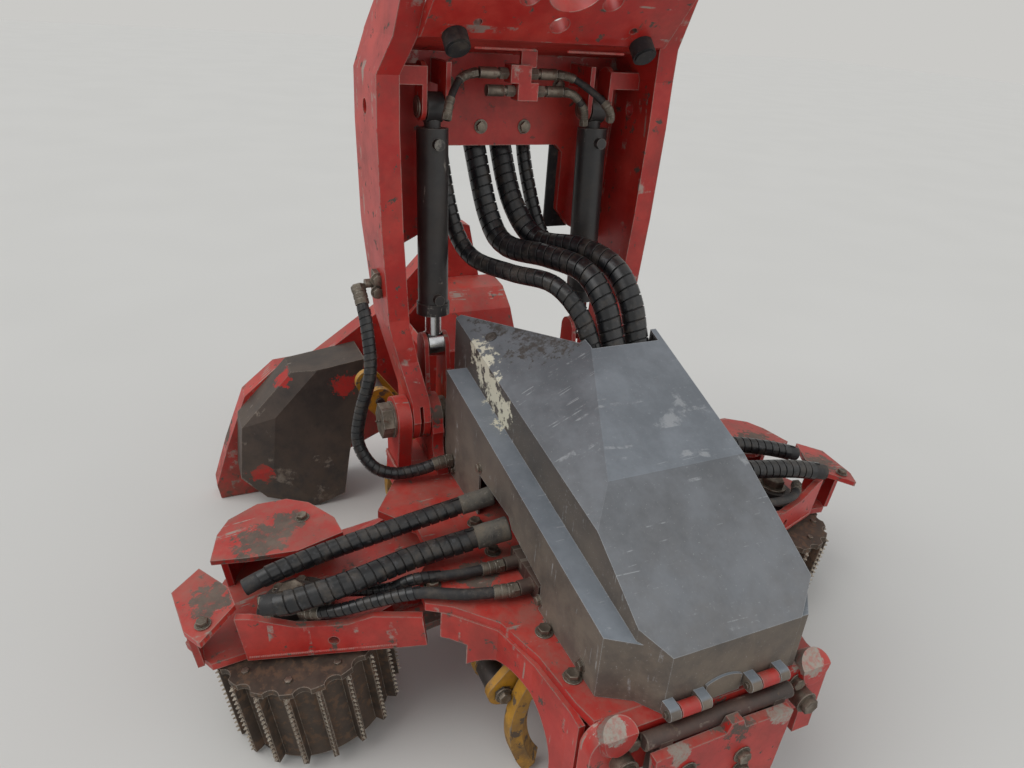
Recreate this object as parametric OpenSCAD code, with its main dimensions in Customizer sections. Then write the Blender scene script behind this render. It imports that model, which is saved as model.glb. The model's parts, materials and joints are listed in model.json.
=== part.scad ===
// Harvester head: felling and delimbing head lying on the ground, tilt link standing up.
// Millimetres. +X towards the knife end, +Y to the right seen from behind, +Z up, floor at z = 0.

/* [Frame] */
// Outer half width of the frame's side webs
web_y = 160; // [150:2:164]
// Thickness of the side webs
web_t = 20; // [12:1:30]
// Height of the deck's upper face
deck_z = 405; // [380:5:430]
// Thickness of the deck plate
deck_t = 20; // [12:1:30]
// Half width of the deck plate
deck_y = 222; // [200:2:240]
// Height of the belly's lower face
belly_z = 235; // [215:5:260]
// Front face of the frame's front wall
front_x = 956; // [930:2:980]
// Thickness of the front wall
nose_t = 36; // [24:2:44]
// Radius of the rounded upper corners of the front wall
nose_r = 44; // [36:2:52]
// Half width of the front wall between its rounded corners
nose_y = 226; // [220:1:230]
// Rear end of the frame
rear_x = -560; // [-600:5:-520]
// Thickness of the cross plates
cross_t = 20; // [12:1:30]

/* [Tilt link] */
// Height of the link's pivot above the floor
pivot_z = 529; // [515:1:545]
// Sideways place of the middle of each link boss
pivot_y = 281; // [278:1:286]
// Width of the link's boss between the ears
boss_w = 46; // [40:1:50]
// Radius of the link's boss
boss_r = 58; // [50:1:64]
// Radius of the pivot pins
pivot_pin_r = 30; // [24:1:34]
// Side gap between bosses and ears
ear_gap = 3; // [1:0.5:6]
// Thickness of the outer clevis ears
ear_out_t = 36; // [28:1:44]
// Thickness of the inner clevis ears
ear_in_t = 30; // [22:1:34]
// Height of the knee where the link's arms bend forwards
knee_z = 1360; // [1320:5:1400]
// Half width of the link outside its arms
link_y = 374; // [350:2:390]
// Thickness of the link's side arms
arm_t = 52; // [40:1:60]
// Depth of the link's side arms, front to rear
link_depth = 198; // [190:2:215]
// Gap between the two plates of each link boss
boss_gap = 8; // [4:1:12]
// Thickness of the link's back plate
back_t = 20; // [12:1:26]
// Half width of the window in the back plate
window_y = 176; // [140:2:180]
// Height of the window's upper edge
window_z = 1184; // [1150:2:1200]
// Tilt of the flange plate from level, in degrees
flange_a = 45; // [35:1:55]
// Thickness of the flange plate
flange_t = 32; // [24:1:40]
// Length of the flange plate along its slope
flange_l = 300; // [270:5:330]
// Radius of the rotator's centre hole
rotor_bore_r = 62; // [50:1:70]
// Radius of the circle of the rotator's bolt openings
rotor_pitch_r = 100; // [92:1:112]
// Radius of each bolt opening
rotor_hole_r = 22; // [10:1:26]
// Number of bolt openings
rotor_holes = 5; // [4:1:8]

/* [Tilt cylinders] */
// Sideways place of the tilt cylinders
cyl_y = 215; // [210:1:219]
// Outer radius of the barrels
barrel_r = 38; // [32:1:42]
// Radius of the rods
rod_r = 21; // [17:1:24]
// Radius of the rod's eye
eye_r = 34; // [30:1:38]
// Width of the rod's eye
eye_w = 40; // [34:1:42]
// Radius of the cylinder pins
cyl_pin_r = 17; // [14:1:20]
// Thickness of the cylinder lugs
lug_t = 12; // [9:0.5:13]
// Side gap between eyes and lugs
lug_gap = 2; // [1:0.5:4]

/* [Cover] */
// Wall of the cover
cover_t = 5; // [4:0.5:8]
// Gap between the cover and the deck
cover_gap = 1; // [0.5:0.5:3]
// Half width of the cover
cover_y = 220; // [212:1:228]
// Front end of the cover
cover_front = 945; // [930:1:960]
// Height of the ledge at its rear end
ledge_z = 681; // [660:1:700]
// Place of the cover's hinge in front of the frame's front wall
lid_hinge_x = 12; // [11:0.5:16]
// Height of the cover's hinge above the deck
lid_hinge_h = 23; // [20:1:30]
// Outer radius of the cover's hinge tubes
lid_tube_r = 14; // [11:0.5:15]
// Radius of the cover's hinge pins
lid_pin_r = 6; // [4:0.5:8]
// Length of each of the cover's hinge tubes
lid_tube_l = 40; // [30:1:46]
// Thickness of the lugs beside each hinge tube
lid_lug_t = 22; // [14:1:22]

/* [Roller arms] */
// Sideways place of the arm hinges
hinge_y = 300; // [290:2:310]
// Height of the arm hinges
hinge_z = 340; // [330:1:342]
// Radius of the arm hinge pins
hinge_pin_r = 24; // [20:1:28]
// Radius of the arm hinge tubes
hinge_tube_r = 42; // [36:1:46]
// Rear end of the arm's hinge tube
arm_x0 = 104; // [96:2:112]
// Front end of the arm's hinge tube
arm_x1 = 500; // [480:2:516]
// Downward slope of the arms, in degrees
arm_slope = 8; // [5:1:10]
// Reach of the arms beyond their hinges
arm_reach = 590; // [560:5:620]
// Thickness of the arm's plates
plate_t = 18; // [12:1:24]
// Height of the hump plate above the hinge axis, square to the arm
hump_w = 98; // [90:1:104]
// Thickness of the arm's walls
arm_wall_t = 14; // [8:1:18]

/* [Feed rollers] */
// Place of the side rollers along the head
roller_x = 352; // [340:1:360]
// Reach of the side rollers' axes beyond the arm hinges
roller_v = 365; // [350:1:380]
// Radius over the teeth of the side rollers
roller_r = 188; // [170:2:196]
// Length of the side rollers
roller_l = 226; // [210:2:230]
// Number of toothed ribs on a side roller
roller_ribs = 18; // [12:1:22]
// Height of the ribs above the drum
rib_h = 24; // [16:1:30]
// Radius of the roller shafts
shaft_r = 40; // [30:1:46]
// Radius of the body of the hydraulic motors
motor_r = 74; // [66:1:80]
// Radius over the teeth of the belly roller
belly_r = 92; // [80:1:100]
// Number of ribs on the belly roller
belly_ribs = 14; // [10:1:18]

/* [Knives] */
// Sideways place of the knife pins
knife_y = 205; // [203:1:210]
// Height of the knife pins
knife_z = 330; // [324:1:336]
// Radius of the knife hubs
knife_hub_r = 40; // [34:1:44]
// Radius of the knife pins
knife_pin_r = 22; // [18:1:26]
// Radius of the curve of the blades
blade_r = 230; // [220:2:236]
// Depth of the blades
blade_d = 50; // [40:2:60]
// Thickness of the blades
blade_t = 34; // [24:1:36]
// Radius of the eyes of the knife cylinders
knife_eye_r = 28; // [24:1:30]
// Radius of the pins of the knife cylinders
knife_eye_pin_r = 12; // [8:1:16]

/* [Saw] */
// Thickness of the saw bar
bar_t = 8; // [5:0.5:10]
// Length of the saw bar from its hinge to the middle of its nose
bar_l = 666; // [600:5:680]
// Half width of the saw bar's nose
bar_nose_r = 60; // [44:2:64]
// Gap in the saw box for the bar
slot_w = 40; // [30:2:50]
// Radius of the saw hinge's shaft
saw_shaft_r = 30; // [24:1:34]
// Thickness of the saw box's plates
saw_t = 14; // [10:1:18]
// Depth of the guard beside the saw box
cowl_t = 140; // [120:5:150]
// Slope of the guard's bevelled faces, in degrees
cowl_slope = 18; // [15:1:30]

/* [Hidden] */
fit = 0.05;
side_in = 0.4;
$fn = 48;
origin_x = -190.5;
ear_out_y = pivot_y + boss_w / 2 + ear_gap;
ear_in_y = pivot_y - boss_w / 2 - ear_gap - ear_in_t;
lug_out_y = cyl_y + eye_w / 2 + lug_gap;
lug_in_y = cyl_y - eye_w / 2 - lug_gap - lug_t;
eye_x = -62;
eye_z = pivot_z + 174;
top_pin_x = -100;
top_pin_z = knee_z - 75;
cyl_len = norm([top_pin_x - eye_x, top_pin_z - eye_z]);
cyl_lean = atan2(top_pin_x - eye_x, top_pin_z - eye_z);
fold_x = 58;
fold_z = knee_z + 80;
wall_x = front_x - nose_t;
lid_x = front_x + lid_hinge_x;
lid_z = deck_z + lid_hinge_h;
lid_tubes = [-108, 70];
roller_w = -roller_l - 44;
saw_y = -80;
saw_z = deck_z + 65;
front_ear = [300, 225];
rear_ear = [335, 500];
row_x = -60;
rows = [[knee_z + 6, -20], [knee_z - 32, 0]];
red = [0.75, 0.12, 0.1];
black = [0.14, 0.14, 0.15];
yellow = [0.85, 0.65, 0.1];
steel = [0.6, 0.6, 0.6];

// Sets the whole head on its origin, below the middle of its box
module head() {
  translate([origin_x, 0, 0]) children();
}

// Extrudes an outline given in X and Z along Y, from y0 over a thickness t
module xz(y0, t) {
  translate([0, y0 + t, 0]) rotate([90, 0, 0]) linear_extrude(t) children();
}

// Extrudes an outline given in Y and Z along X, from x0 over a thickness t
module yz(x0, t) {
  translate([x0, 0, 0]) rotate([90, 0, 90]) linear_extrude(t) children();
}

// A piece and its mirror image on the other side of the middle plane
module both() {
  children();
  mirror([0, 1, 0]) children();
}

// Round bar along Y
module rod_y(x, z, y0, y1, r) {
  translate([x, y1, z]) rotate([90, 0, 0]) cylinder(h = y1 - y0, r = r);
}

// Round bar along X
module rod_x(y, z, x0, x1, r) {
  translate([x0, y, z]) rotate([0, 90, 0]) cylinder(h = x1 - x0, r = r);
}

// Outline of a strap round two circles: the four points where its straight sides meet them
function strap_points(a, ra, b, rb) =
  let (d = norm(b - a), u = (b - a) / d, n = [-u.y, u.x], s = (ra - rb) / d, c = sqrt(1 - s * s))
  [a + ra * (s * u - c * n), b + rb * (s * u - c * n), b + rb * (s * u + c * n), a + ra * (s * u + c * n)];

// The sides run a little inside the tangents, so that they cut the circles cleanly
module strap(a, ra, b, rb) {
  polygon(strap_points(a, ra - side_in, b, rb - side_in));
  translate(a) circle(r = ra);
  translate(b) circle(r = rb);
}

// Moves every edge of an outline inwards by t
function edge_out(p, q) = let (d = q - p) [d.y, -d.x] / norm(d);
function inset(p, t) = [
  for (i = [0 : len(p) - 1])
    let (a = p[(i + len(p) - 1) % len(p)], b = p[i], c = p[(i + 1) % len(p)])
    let (m = edge_out(a, b), n = edge_out(b, c))
    b - (m + n) * t / (1 + m * n)
];

// Side outline of the frame's webs
web_outline = [
  [rear_x, belly_z + 60], [-330, belly_z + 60], [-250, belly_z], [700, belly_z], [wall_x, belly_z + 70],
  [wall_x, deck_z - deck_t], [rear_x, deck_z - deck_t]
];
// Plan outline of the right half of the deck
deck_half = [
  [wall_x, nose_y + 20], [873, 258], [752, 274], [647, 308], [573, 381], [543, 431], [470, 424],
  [400, 372], [300, 372], [207, 440], [60, 345], [-60, 345], [-110, web_y], [rear_x, web_y]
];

// Side webs with the cross plates between them
module frame() {
  color(red) difference() {
    union() {
      both() xz(web_y - web_t, web_t) polygon(web_outline);
      for (x = [rear_x, -250, 286, 690])
        translate([x, -web_y, belly_z + 60]) cube([cross_t, 2 * web_y, deck_z - deck_t - belly_z - 60]);
    }
    rod_y(150, belly_z + 20, -200, 200, 26 + fit);
  }
}

// Plate on top of the webs
module deck() {
  color(red) translate([0, 0, deck_z - deck_t]) linear_extrude(deck_t)
    polygon(concat(deck_half, [for (i = [len(deck_half) - 1 : -1 : 0]) [deck_half[i].x, -deck_half[i].y]]));
}

// Ears of the link's pivot and lugs of the tilt cylinder on the deck, with the beam below it
module clevis() {
  color(red) difference() {
    union() {
      on_deck() {
        // outer ear, rounded at its foot
        xz(ear_out_y, ear_out_t) strap([0, pivot_z], 60, [0, deck_z - 8], 48);
        // inner ear, flowing in hollow curves into the deck
        xz(ear_in_y, ear_in_t) {
          translate([0, pivot_z]) circle(r = 58);
          difference() {
            polygon([[-112, deck_z - 5], [112, deck_z - 5], [57, pivot_z], [-57, pivot_z]]);
            translate([128, pivot_z - 48]) circle(r = 66);
            translate([-128, pivot_z - 48]) circle(r = 66);
          }
        }
        // lugs of the tilt cylinder
        xz(lug_out_y, lug_t) strap([eye_x, eye_z], 32, [-40, deck_z + 48], 44);
        xz(lug_in_y, lug_t) strap([eye_x, eye_z], 32, [-40, deck_z + 48], 60);
        translate([-96, lug_in_y, deck_z - 5]) cube([112, lug_out_y + lug_t - lug_in_y, 60]);
      }
      // beam under the ears, from the web outwards
      translate([-62, web_y, deck_z - 85]) cube([112, ear_out_y + ear_out_t - web_y, 85 - deck_t]);
    }
    rod_y(0, pivot_z, 100, 420, pivot_pin_r + fit);
  }
}

module clevis_right() { clevis(); }
module clevis_left() { mirror([0, 1, 0]) clevis(); }

// Only what stands above the deck
module on_deck() {
  intersection() {
    union() children();
    translate([-300, 0, deck_z]) cube([600, 600, 600]);
  }
}

// Ears and cheeks on the outside of a web, with the side wall behind them
module wing() {
  color(red) difference() {
    union() {
      // ears that carry the arm's hinge
      for (x = [arm_x0 - 26, arm_x1 + 2])
        yz(x, 24) beside_web() {
          strap([hinge_y, hinge_z], hinge_tube_r, [web_y + 40, hinge_z - 10], 54);
          translate([web_y - 5, hinge_z - 20]) square([60, deck_z - deck_t - hinge_z + 25]);
        }
      // cheeks that carry the knife pins
      for (x = [536, -324, -146])
        yz(x, 20) beside_web() {
          strap([knife_y, knife_z], 42, [web_y + 10, knife_z - 20], 46);
          translate([web_y - 5, knife_z]) square([knife_y + 20 - web_y, deck_z - deck_t - knife_z + 5]);
        }
      yz(884, 20) beside_web() strap([knife_y, knife_z], 42, [web_y + 10, knife_z + 5], 42);
      // side wall with the arch over the knife's ears
      difference() {
        translate([0, 0, 170]) linear_extrude(deck_z - deck_t - 170) difference() {
          polygon(side_wall);
          polygon(inset(side_wall, 13));
          translate([500, 100]) square([460, 142]);
          translate([500, 100]) square([60, 360]);
          translate([wall_x - 12, 100]) square([100, 360]);
        }
        rod_y(705, 190, 200, 460, 128);
        translate([480, 200, 0]) cube([120, 300, 318]);
      }
    }
    rod_x(hinge_y, hinge_z, 60, 560, hinge_pin_r + fit);
    rod_x(knife_y, knife_z, 520, front_x + 40, knife_pin_r + fit);
    rod_x(knife_y, knife_z, -340, -110, knife_pin_r + fit);
  }
}
side_wall = [
  [540, 180], [wall_x + 13, 180], [wall_x + 13, 268], [873, 268], [752, 283], [647, 312], [573, 385],
  [540, 430]
];

module wing_right() { wing(); }
module wing_left() { mirror([0, 1, 0]) wing(); }

// Only what lies outside the web and below the deck
module beside_web() {
  intersection() {
    union() children();
    translate([web_y, 0]) square([400, deck_z - deck_t]);
  }
}

// Front wall with rounded upper corners and a boss on each
module front_wall() {
  color(red) difference() {
    union() {
      yz(wall_x, nose_t) {
        translate([-nose_y, 286]) square([2 * nose_y, deck_z - 286]);
        both_sides() {
          translate([nose_y, deck_z - nose_r]) circle(r = nose_r);
          translate([nose_y - 1, 210]) square([nose_r + 1, deck_z - nose_r - 210]);
        }
      }
      both() intersection() {
        translate([wall_x + 8, nose_y - 6, deck_z - 40]) rotate([0, 40, 0]) cylinder(h = 60, r = 34);
        translate([wall_x, 150, 200]) cube([front_x + 14 - wall_x, 200, 400]);
      }
    }
    both() rod_x(knife_y, knife_z, 520, front_x + 40, knife_pin_r + fit);
  }
}

// An outline and its mirror image
module both_sides() {
  children();
  mirror([1, 0]) children();
}

// Front plate in front of the bar, with its tab, slot and bolt holes
module front_plate() {
  color(red) yz(front_x + 33, 20) difference() {
    polygon([[-170, 372], [-22, 376], [-14, 398], [12, 398], [22, 376], [134, 372], [118, 170], [60, 128],
      [-96, 128], [-152, 170]]);
    for (p = [[-96, 318], [30, 300], [34, 262]]) translate(p) circle(r = 9);
    translate([-70, 258]) square([44, 12]);
  }
}

// Bar behind the front plate, on its two brackets
module front_bar() {
  color(black) {
    rod_y(front_x + 16.5, deck_z - 22, -176, 150, 16);
    for (y = [-150, 104]) translate([front_x, y, deck_z - 130]) cube([33, 26, 110]);
  }
}

// Tubes of the cover's two hinges
module lid_hinges() {
  color(red) difference() {
    union() {
      for (y = lid_tubes) {
        rod_y(lid_x, lid_z, y, y + lid_tube_l, lid_tube_r);
        translate([front_x - 5, y, deck_z]) cube([lid_hinge_x + 5, lid_tube_l, lid_hinge_h]);
      }
    }
    for (y = lid_tubes) rod_y(lid_x, lid_z, y - 1, y + lid_tube_l + 1, lid_pin_r + fit);
  }
}

module lid_pins() {
  color(steel) for (y = lid_tubes)
    rod_y(lid_x, lid_z, y - lid_lug_t - 8, y + lid_tube_l + lid_lug_t + 8, lid_pin_r);
}

// Lugs on the cover's front on both sides of each hinge tube, with the curved catch between them
module cover_lugs() {
  color(black) yz(cover_front + 5, 5) intersection() {
    translate([0, deck_z - 26]) circle(r = 78);
    translate([-40, deck_z + 3]) square([80, 80]);
  }
  color(black) for (y = lid_tubes) for (s = [y - lid_lug_t - 2, y + lid_tube_l + 2])
    difference() {
      union() {
        rod_y(lid_x, lid_z, s, s + lid_lug_t, lid_tube_r);
        translate([cover_front + 5, s, lid_z - 8])
          cube([lid_x - cover_front - 5, lid_lug_t, 8 + lid_tube_r]);
      }
      rod_y(lid_x, lid_z, s - 1, s + lid_lug_t + 1, lid_pin_r + fit);
    }
}

// Side outline of the housing over the saw motor
house_side = [[rear_x, deck_z], [-330, deck_z], [-330, 540], [-400, 640], [-470, 690], [rear_x, 700]];
module rear_house() {
  color(red) difference() {
    xz(-web_y, 2 * web_y) polygon(house_side);
    xz(-web_y + 16, 2 * web_y - 32)
      polygon([for (p = inset(house_side, 18)) p.y < deck_z + 20 ? [p.x, deck_z - 1] : p]);
    rod_x(saw_y, saw_z, rear_x - 1, rear_x + 30, saw_shaft_r + fit);
    // sloping left shoulder
    translate([0, -web_y, 560]) rotate([48, 0, 0]) translate([-900, -400, 0]) cube([900, 800, 400]);
  }
}

// Outline of the saw box
saw_plate = [
  [90, 300], [110, 700], [72, 868], [30, 880], [-228, 604], [-440, 455], [-560, 446], [-661, 361],
  [-727, 190], [-773, 51], [-765, 0], [-480, 0], [-340, 110]
];
saw_face = [
  [-312, 510], [-530, 479], [-686, 312], [-703, 133], [-631, 47], [-487, 0], [-389, 30], [-369, 178]
];

module saw_box() {
  color(red) difference() {
    union() {
      yz(rear_x - saw_t, saw_t) polygon(saw_plate);
      yz(rear_x - slot_w - 2 * saw_t, saw_t) difference() {
        polygon(saw_plate);
        // long openings in the outer plate
        strap([-500, 405], 13, [-600, 345], 13);
        strap([-660, 270], 13, [-700, 130], 13);
      }
      yz(rear_x - slot_w - saw_t, slot_w) difference() {
        polygon(saw_plate);
        polygon([
          [140, -10], [140, 400], [84, 430], [94, 690], [60, 850], [36, 856], [-224, 580], [-430, 434],
          [-556, 425], [-640, 348], [-706, 180], [-748, 50], [-742, -10]
        ]);
      }
    }
    rod_x(saw_y, saw_z, rear_x - slot_w - saw_t, rear_x + 1, saw_shaft_r + fit);
  }
}

// Guard beside the saw box, with its upper and outer edges cut off at a slope
module saw_cowl() {
  color(black) intersection() {
    yz(rear_x, cowl_t) polygon(saw_face);
    cowl_cut(saw_face[1], saw_face[2], cowl_slope + 15);
    cowl_cut(saw_face[2], saw_face[3], cowl_slope);
    cowl_cut(saw_face[3], saw_face[4], cowl_slope);
  }
}

// Everything behind a plane that rises from the edge a to b towards the guard's middle
module cowl_cut(a, b, slope) {
  translate([rear_x + cowl_t - 30, a.x, a.y]) rotate([atan2(b.y - a.y, b.x - a.x), 0, 0])
    rotate([0, slope, 0]) translate([-3000, -3000, -3000]) cube([3000, 6000, 6000]);
}

flange_end = [fold_x, fold_z] + flange_l * [cos(flange_a), sin(flange_a)];
// Side outline of the link's arms
link_side = [
  [-76, pivot_z + 20], [62, pivot_z + 10], [12, pivot_z + 161], [0, pivot_z + 271], [0, knee_z],
  [39, knee_z + 77], [97, knee_z + 184], flange_end, flange_end + [-60, 60],
  [-40, fold_z + 120], [-link_depth, fold_z], [-link_depth, knee_z - 360], [-link_depth * 0.72, knee_z - 590]
];
// Front outline of the right arm: its outer edge up, then its inner edge down
arm_edge = [
  [pivot_y + boss_w / 2, 590], [350, 783], [366, 1023], [link_y, 1248], [link_y, knee_z], [348, knee_z + 77],
  [330, 1720]
];
link_band = concat(
  [[pivot_y - boss_w / 2, pivot_z - 10], [pivot_y + boss_w / 2, pivot_z - 10]], arm_edge,
  [for (i = [len(arm_edge) - 1 : -1 : 1]) arm_edge[i] - [arm_t, 0]], [[pivot_y - boss_w / 2, 590]]
);
// Room between the two arms
link_room = concat([for (i = [1 : len(arm_edge) - 1]) arm_edge[i] - [arm_t, 0]],
  [for (i = [len(arm_edge) - 1 : -1 : 1]) [arm_t - arm_edge[i].x, arm_edge[i].y]]);

module link_arm() {
  color(red) difference() {
    union() {
      intersection() {
        xz(200, 200) polygon(link_side);
        yz(-300, 800) polygon(link_band);
      }
      rod_y(0, pivot_z, pivot_y - boss_w / 2, pivot_y + boss_w / 2, boss_r);
      // outer lug of the tilt cylinder, on a bridge from the arm
      xz(lug_out_y, lug_t) strap([top_pin_x, top_pin_z], 30, [top_pin_x, top_pin_z + 70], 30);
      translate([top_pin_x - 30, lug_out_y, top_pin_z + 50]) cube([60, link_y - arm_t - lug_out_y + 2, 40]);
    }
    // gap between the two plates of the boss
    translate([-90, pivot_y - boss_gap / 2, pivot_z - 80]) cube([180, boss_gap, 130]);
    rod_y(0, pivot_z, 200, 400, pivot_pin_r + fit);
    rod_y(top_pin_x, top_pin_z, 100, 400, cyl_pin_r + fit);
  }
}

module link_right() { link_arm(); }
module link_left() { mirror([0, 1, 0]) link_arm(); }

module link_back() {
  color(red) difference() {
    union() {
      intersection() {
        yz(-300, 800) polygon(link_room);
        union() {
          // back plate with the window, its jambs running out into the arms
          yz(-link_depth, back_t) difference() {
            polygon([[-340, 930], [-340, fold_z - 12], [340, fold_z - 12], [340, 930]]);
            polygon([
              [-window_y, 1010], [-window_y, window_z - 20], [20 - window_y, window_z],
              [window_y - 20, window_z], [window_y, window_z - 20], [window_y, 1010],
              [window_y + 40, 964], [340, 900], [-340, 900], [-window_y - 40, 964]
            ]);
          }
          // web from the back plate to the fold
          xz(-400, 800) polygon([
            [-link_depth, fold_z - 40], [-link_depth + back_t, fold_z - 40], [fold_x, fold_z],
            [fold_x - 20, fold_z + 20], [-link_depth, fold_z - 12]
          ]);
          // flange plate
          flange_frame() translate([0, -400, 0]) cube([flange_l, 800, flange_t]);
        }
      }
      // inner lugs of the tilt cylinders, on brackets from the back plate
      both() {
        xz(lug_in_y, lug_t) strap([top_pin_x, top_pin_z], 30, [top_pin_x, top_pin_z + 70], 30);
        translate([-link_depth + back_t - 1, lug_in_y, top_pin_z + 46])
          cube([link_depth - back_t + top_pin_x + 31, lug_t, 54]);
      }
    }
    flange_frame() translate([150, 0, -50]) {
      cylinder(h = 200, r = rotor_bore_r);
      for (i = [0 : rotor_holes - 1]) rotate(180 + i * 360 / rotor_holes) translate([rotor_pitch_r, 0, 0])
        cylinder(h = 200, r = rotor_hole_r);
    }
    both() {
      rod_y(top_pin_x, top_pin_z, 100, 400, cyl_pin_r + fit);
      // small bolt holes beside the rotator's
      flange_frame() translate([46, 185, -50]) cylinder(h = 200, r = 9);
    }
  }
}

// Frame of the flange plate: origin at the fold, +X up the slope
module flange_frame() {
  translate([fold_x, 0, fold_z]) rotate([0, -flange_a, 0]) children();
}

module stops() {
  color(black) both() flange_frame() translate([8, 225, -34]) {
    cylinder(h = 34, r = 27);
    translate([0, 0, -4]) cylinder(h = 4, r = 22);
  }
}

// Block under the fold with two rows of hose couplings
module coupling_block() {
  color(red) {
    for (r = rows) translate([row_x - 20, r.y - 26, r.x - 20]) cube([40, 52, 40]);
    translate([row_x - 6, -16, knee_z + 20]) cube([12, 40, 37.4]);
  }
}

module couplings() {
  color(steel) for (r = rows) {
    for (s = [-1, 1]) {
      rod_y(row_x, r.x, r.y + (s > 0 ? 26 : -86), r.y + (s > 0 ? 86 : -26), 10);
      rod_y(row_x, r.x, r.y + (s > 0 ? 30 : -48), r.y + (s > 0 ? 48 : -30), 14, $fn = 6);
      rod_y(row_x, r.x, r.y + (s > 0 ? 56 : -98), r.y + (s > 0 ? 98 : -56), 13);
    }
  }
}

// Small valve and hose clamp on the outer side of the left arm
module link_valve() {
  color(steel) {
    yz(-84, 34) polygon([[-354.8, 850], [-371, 850], [-371, 910], [-358.8, 910]]);
    rod_y(-67, 880, -392, -371, 11);
  }
}

module flap() {
  color(black) translate([-link_depth - 7, 150, 958]) cube([6.7, 72, 240]);
}

// Frame of one tilt cylinder: the children stand with +Z from the rod's eye to the link's pin
module along_cylinder(s) {
  translate([eye_x, s * cyl_y, eye_z]) rotate([0, cyl_lean, 0]) children();
}

module barrel(s) {
  color(black) along_cylinder(s) difference() {
    union() {
      translate([0, 0, 90]) cylinder(h = cyl_len - 90 - 46, r = barrel_r);
      translate([0, 0, 84]) cylinder(h = 30, r = barrel_r + 4);
      translate([0, 0, cyl_len - 50]) cylinder(h = 40, r = eye_w / 2);
      translate([0, eye_w / 2, cyl_len]) rotate([90, 0, 0]) cylinder(h = eye_w, r = eye_r);
      // oil ports at both ends
      for (z = [130, cyl_len - 80]) translate([0, 0, z]) rotate([0, 90, 0])
        cylinder(h = barrel_r + 16, r = 13);
    }
    translate([0, 0, 60]) cylinder(h = cyl_len - 200, r = rod_r + fit);
    translate([0, 200, cyl_len]) rotate([90, 0, 0]) cylinder(h = 400, r = cyl_pin_r + fit);
  }
}

module barrel_left() { barrel(-1); }
module barrel_right() { barrel(1); }

module rod(s) {
  color(steel) along_cylinder(s) {
    translate([0, 0, eye_r - 6]) cylinder(h = 300, r = rod_r);
    translate([0, eye_w / 2, 0]) rotate([90, 0, 0]) cylinder(h = eye_w, r = eye_r);
  }
}

module rod_left() { rod(-1); }
module rod_right() { rod(1); }

// Cover: an outline in plan under sloping planes; d moves every face inwards
panel_slope = atan(0.555);
chute_slope = atan(0.363);
ledge_slope = atan(0.165);
low_plan = [
  [60, -cover_y], [873, -cover_y], [cover_front, -90], [cover_front, 180], [890, cover_y + 5],
  [60, cover_y + 5]
];
top_plan = [
  [-27, -167], [896, -167], [cover_front + 5, -126], [cover_front + 5, 158], [892, cover_y + 5],
  [288, cover_y + 5], [288, 18], [-27, -153]
];

// Everything on the lower side of a plane through p that is tilted about Y then about X
module below(p, ay, ax) {
  translate(p) rotate([ax, ay, 0]) translate([-2000, -2000, -3000]) cube([4000, 4000, 3000]);
}

module cover_low(d) {
  intersection() {
    translate([0, 0, deck_z + cover_gap - 10]) linear_extrude(500) polygon(inset(low_plan, d));
    below([60, 0, ledge_z - d], ledge_slope, 0);
  }
}

module cover_top(d) {
  intersection() {
    translate([0, 0, deck_z + cover_gap - 10]) linear_extrude(700) polygon(inset(top_plan, d));
    below([cover_front + 5, 0, 540 - d * 1.14], panel_slope, 0);
    below([536, 0, 747 - d * 1.06], chute_slope, 0);
    below([584, -49, 743 - d * 1.13], 9.2, 26.3);
  }
}

module cover() {
  color(black) difference() {
    union() {
      cover_low(0);
      cover_top(0);
    }
    cover_low(cover_t);
    cover_top(cover_t);
    translate([-100, -400, 0]) cube([2000, 800, deck_z + cover_gap]);
    // mouth of the hose chute
    translate([200, 32, 690]) cube([124, 178, 400]);
    // notches for the hoses to the two arms
    xz(-400, 250) polygon([[300, 0], [300, 520], [470, 520], [490, 500], [640, 470], [640, 0]]);
    xz(150, 250) polygon([[250, 0], [250, 500], [520, 500], [520, 0]]);
  }
}

// Frame of an arm: origin on the hinge axis, +Y outwards along the slope, +Z square to it
module arm_frame() {
  translate([0, hinge_y, hinge_z]) rotate([-arm_slope, 0, 0]) children();
}
arm_plan = [
  [arm_x0, -10], [arm_x1, -10], [arm_x1 + 2, 130], [514, 183], [401, 480], [398, 556],
  [310, arm_reach + 12], [240, 560], [150, 505], [92, 440], [72, 385], [104, 280], [arm_x0, 150]
];
hump_plan = [
  [276, 226], [290, 330], [262, 430], [232, 512], [147, 490], [102, 460], [74, 390], [88, 322],
  [128, 276], [178, 250], [214, 232]
];
guard_plan = [[244, 536], [335, 483], [393, 476], [466, 551], [420, 578], [295, arm_reach + 5]];

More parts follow.
